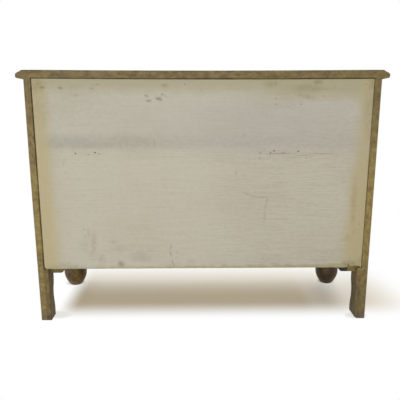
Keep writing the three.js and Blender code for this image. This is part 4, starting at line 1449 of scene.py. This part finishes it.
def white_floor(tree):
    """A pale matt floor, pure white to the camera except in the shade about the chiffonier."""
    place, axes = own_place(tree)
    shade = share(tree, 1 - SHADE_LIFT, *[
        (axes[axis], *millimetres(start, end), at_start, at_end)
        for axis, start, end, at_start, at_end in SHADE_EDGES
    ])
    for x, y, across, along, strength in CONTACT_SHADES:
        own = add(tree, "ShaderNodeMapping", {
            "Vector": place,
            "Location": millimetres(x, y, 0),
            "Scale": millimetres(across, along, 1),
        }, vector_type="TEXTURE")
        away = add(tree, "ShaderNodeVectorMath", {
            "Vector": own,
        }, operation="LENGTH").outputs["Value"]
        shade = add(tree, "ShaderNodeMath", {
            "Value": share(tree, (away, CONTACT_CORE, 1, strength, 0)),
            "Value_001": shade,
        }, operation="MAXIMUM")
    tone = laid(tree, FLOOR_COLOUR, [(COVER, FLOOR_SHADED, (shade, 0, FLOOR_SHADED_AT))])
    clear = add(tree, "ShaderNodeMath", {"Value": 1.0, "Value_001": shade}, operation="SUBTRACT")
    return add(tree, "ShaderNodeMixShader", {
        "Fac": share(tree, seen_directly(tree), clear),
        "Shader": add(tree, "ShaderNodeBsdfDiffuse", {"Color": tone}),
        "Shader_001": add(tree, "ShaderNodeEmission", {"Strength": 1.0}),
    })


def make_floor():
    work = bmesh.new()
    bmesh.ops.create_circle(work, cap_ends=True, radius=FLOOR_RADIUS, segments=FLOOR_SEGMENTS)
    floor = in_scene("floor", mesh_of("floor", work))
    floor.data.materials.append(painted("white_studio_floor", white_floor))


def make_world():
    """A plain world: white where it is seen, and dimmer in the light that it gives."""
    world = bpy.data.worlds.new("white_studio")
    bpy.context.scene.world = world
    world.use_nodes = True
    tree = world.node_tree
    tree.nodes.clear()
    level = add(tree, "ShaderNodeMapRange", {
        "Value": seen_directly(tree),
        "To Min": AMBIENT,
        "To Max": 1.0,
    })
    sky = add(tree, "ShaderNodeBackground", {"Color": linear("#FFFFFF"), "Strength": level})
    add(tree, "ShaderNodeOutputWorld", {"Surface": sky})


def add_softbox(name, place, size, power):
    """A square softbox that faces the middle of the chiffonier."""
    light = bpy.data.lights.new(name, "AREA")
    light.size = size
    light.energy = power
    lamp = in_scene(name, light)
    lamp.location = place
    middle = (cad_low + cad_high) / 2
    lamp.rotation_euler = (middle - lamp.location).to_track_quat("-Z", "Y").to_euler()


# The camera stands behind the chiffonier, almost level with its top, and looks down at it. Its
# focal length is in pixels of the square picture
CAMERA_PLACE = (0.0368, 1.9404, 0.8318)
CAMERA_TILT = 12.395
CAMERA_TURN = 0.824
CAMERA_ROLL = -0.028
CAMERA_FOCUS_PIXELS = 501.3
IMAGE_PIXELS = 400
SENSOR_WIDTH = 36


def make_camera():
    camera = in_scene("camera", bpy.data.cameras.new("camera"))
    camera.data.sensor_width = SENSOR_WIDTH
    camera.data.lens = CAMERA_FOCUS_PIXELS / IMAGE_PIXELS * SENSOR_WIDTH
    camera.location = CAMERA_PLACE
    tilt = Matrix.Rotation(math.radians(90 - CAMERA_TILT), 3, "X")
    turn = Matrix.Rotation(math.radians(180 - CAMERA_TURN), 3, "Z")
    roll = Matrix.Rotation(math.radians(CAMERA_ROLL), 3, "Z")
    camera.rotation_euler = (turn @ tilt @ roll).to_euler()
    bpy.context.scene.camera = camera


make_floor()
make_world()
for name, row in SOFTBOXES.items():
    add_softbox(name, *row)
make_camera()
bpy.context.scene.view_settings.view_transform = "Standard"
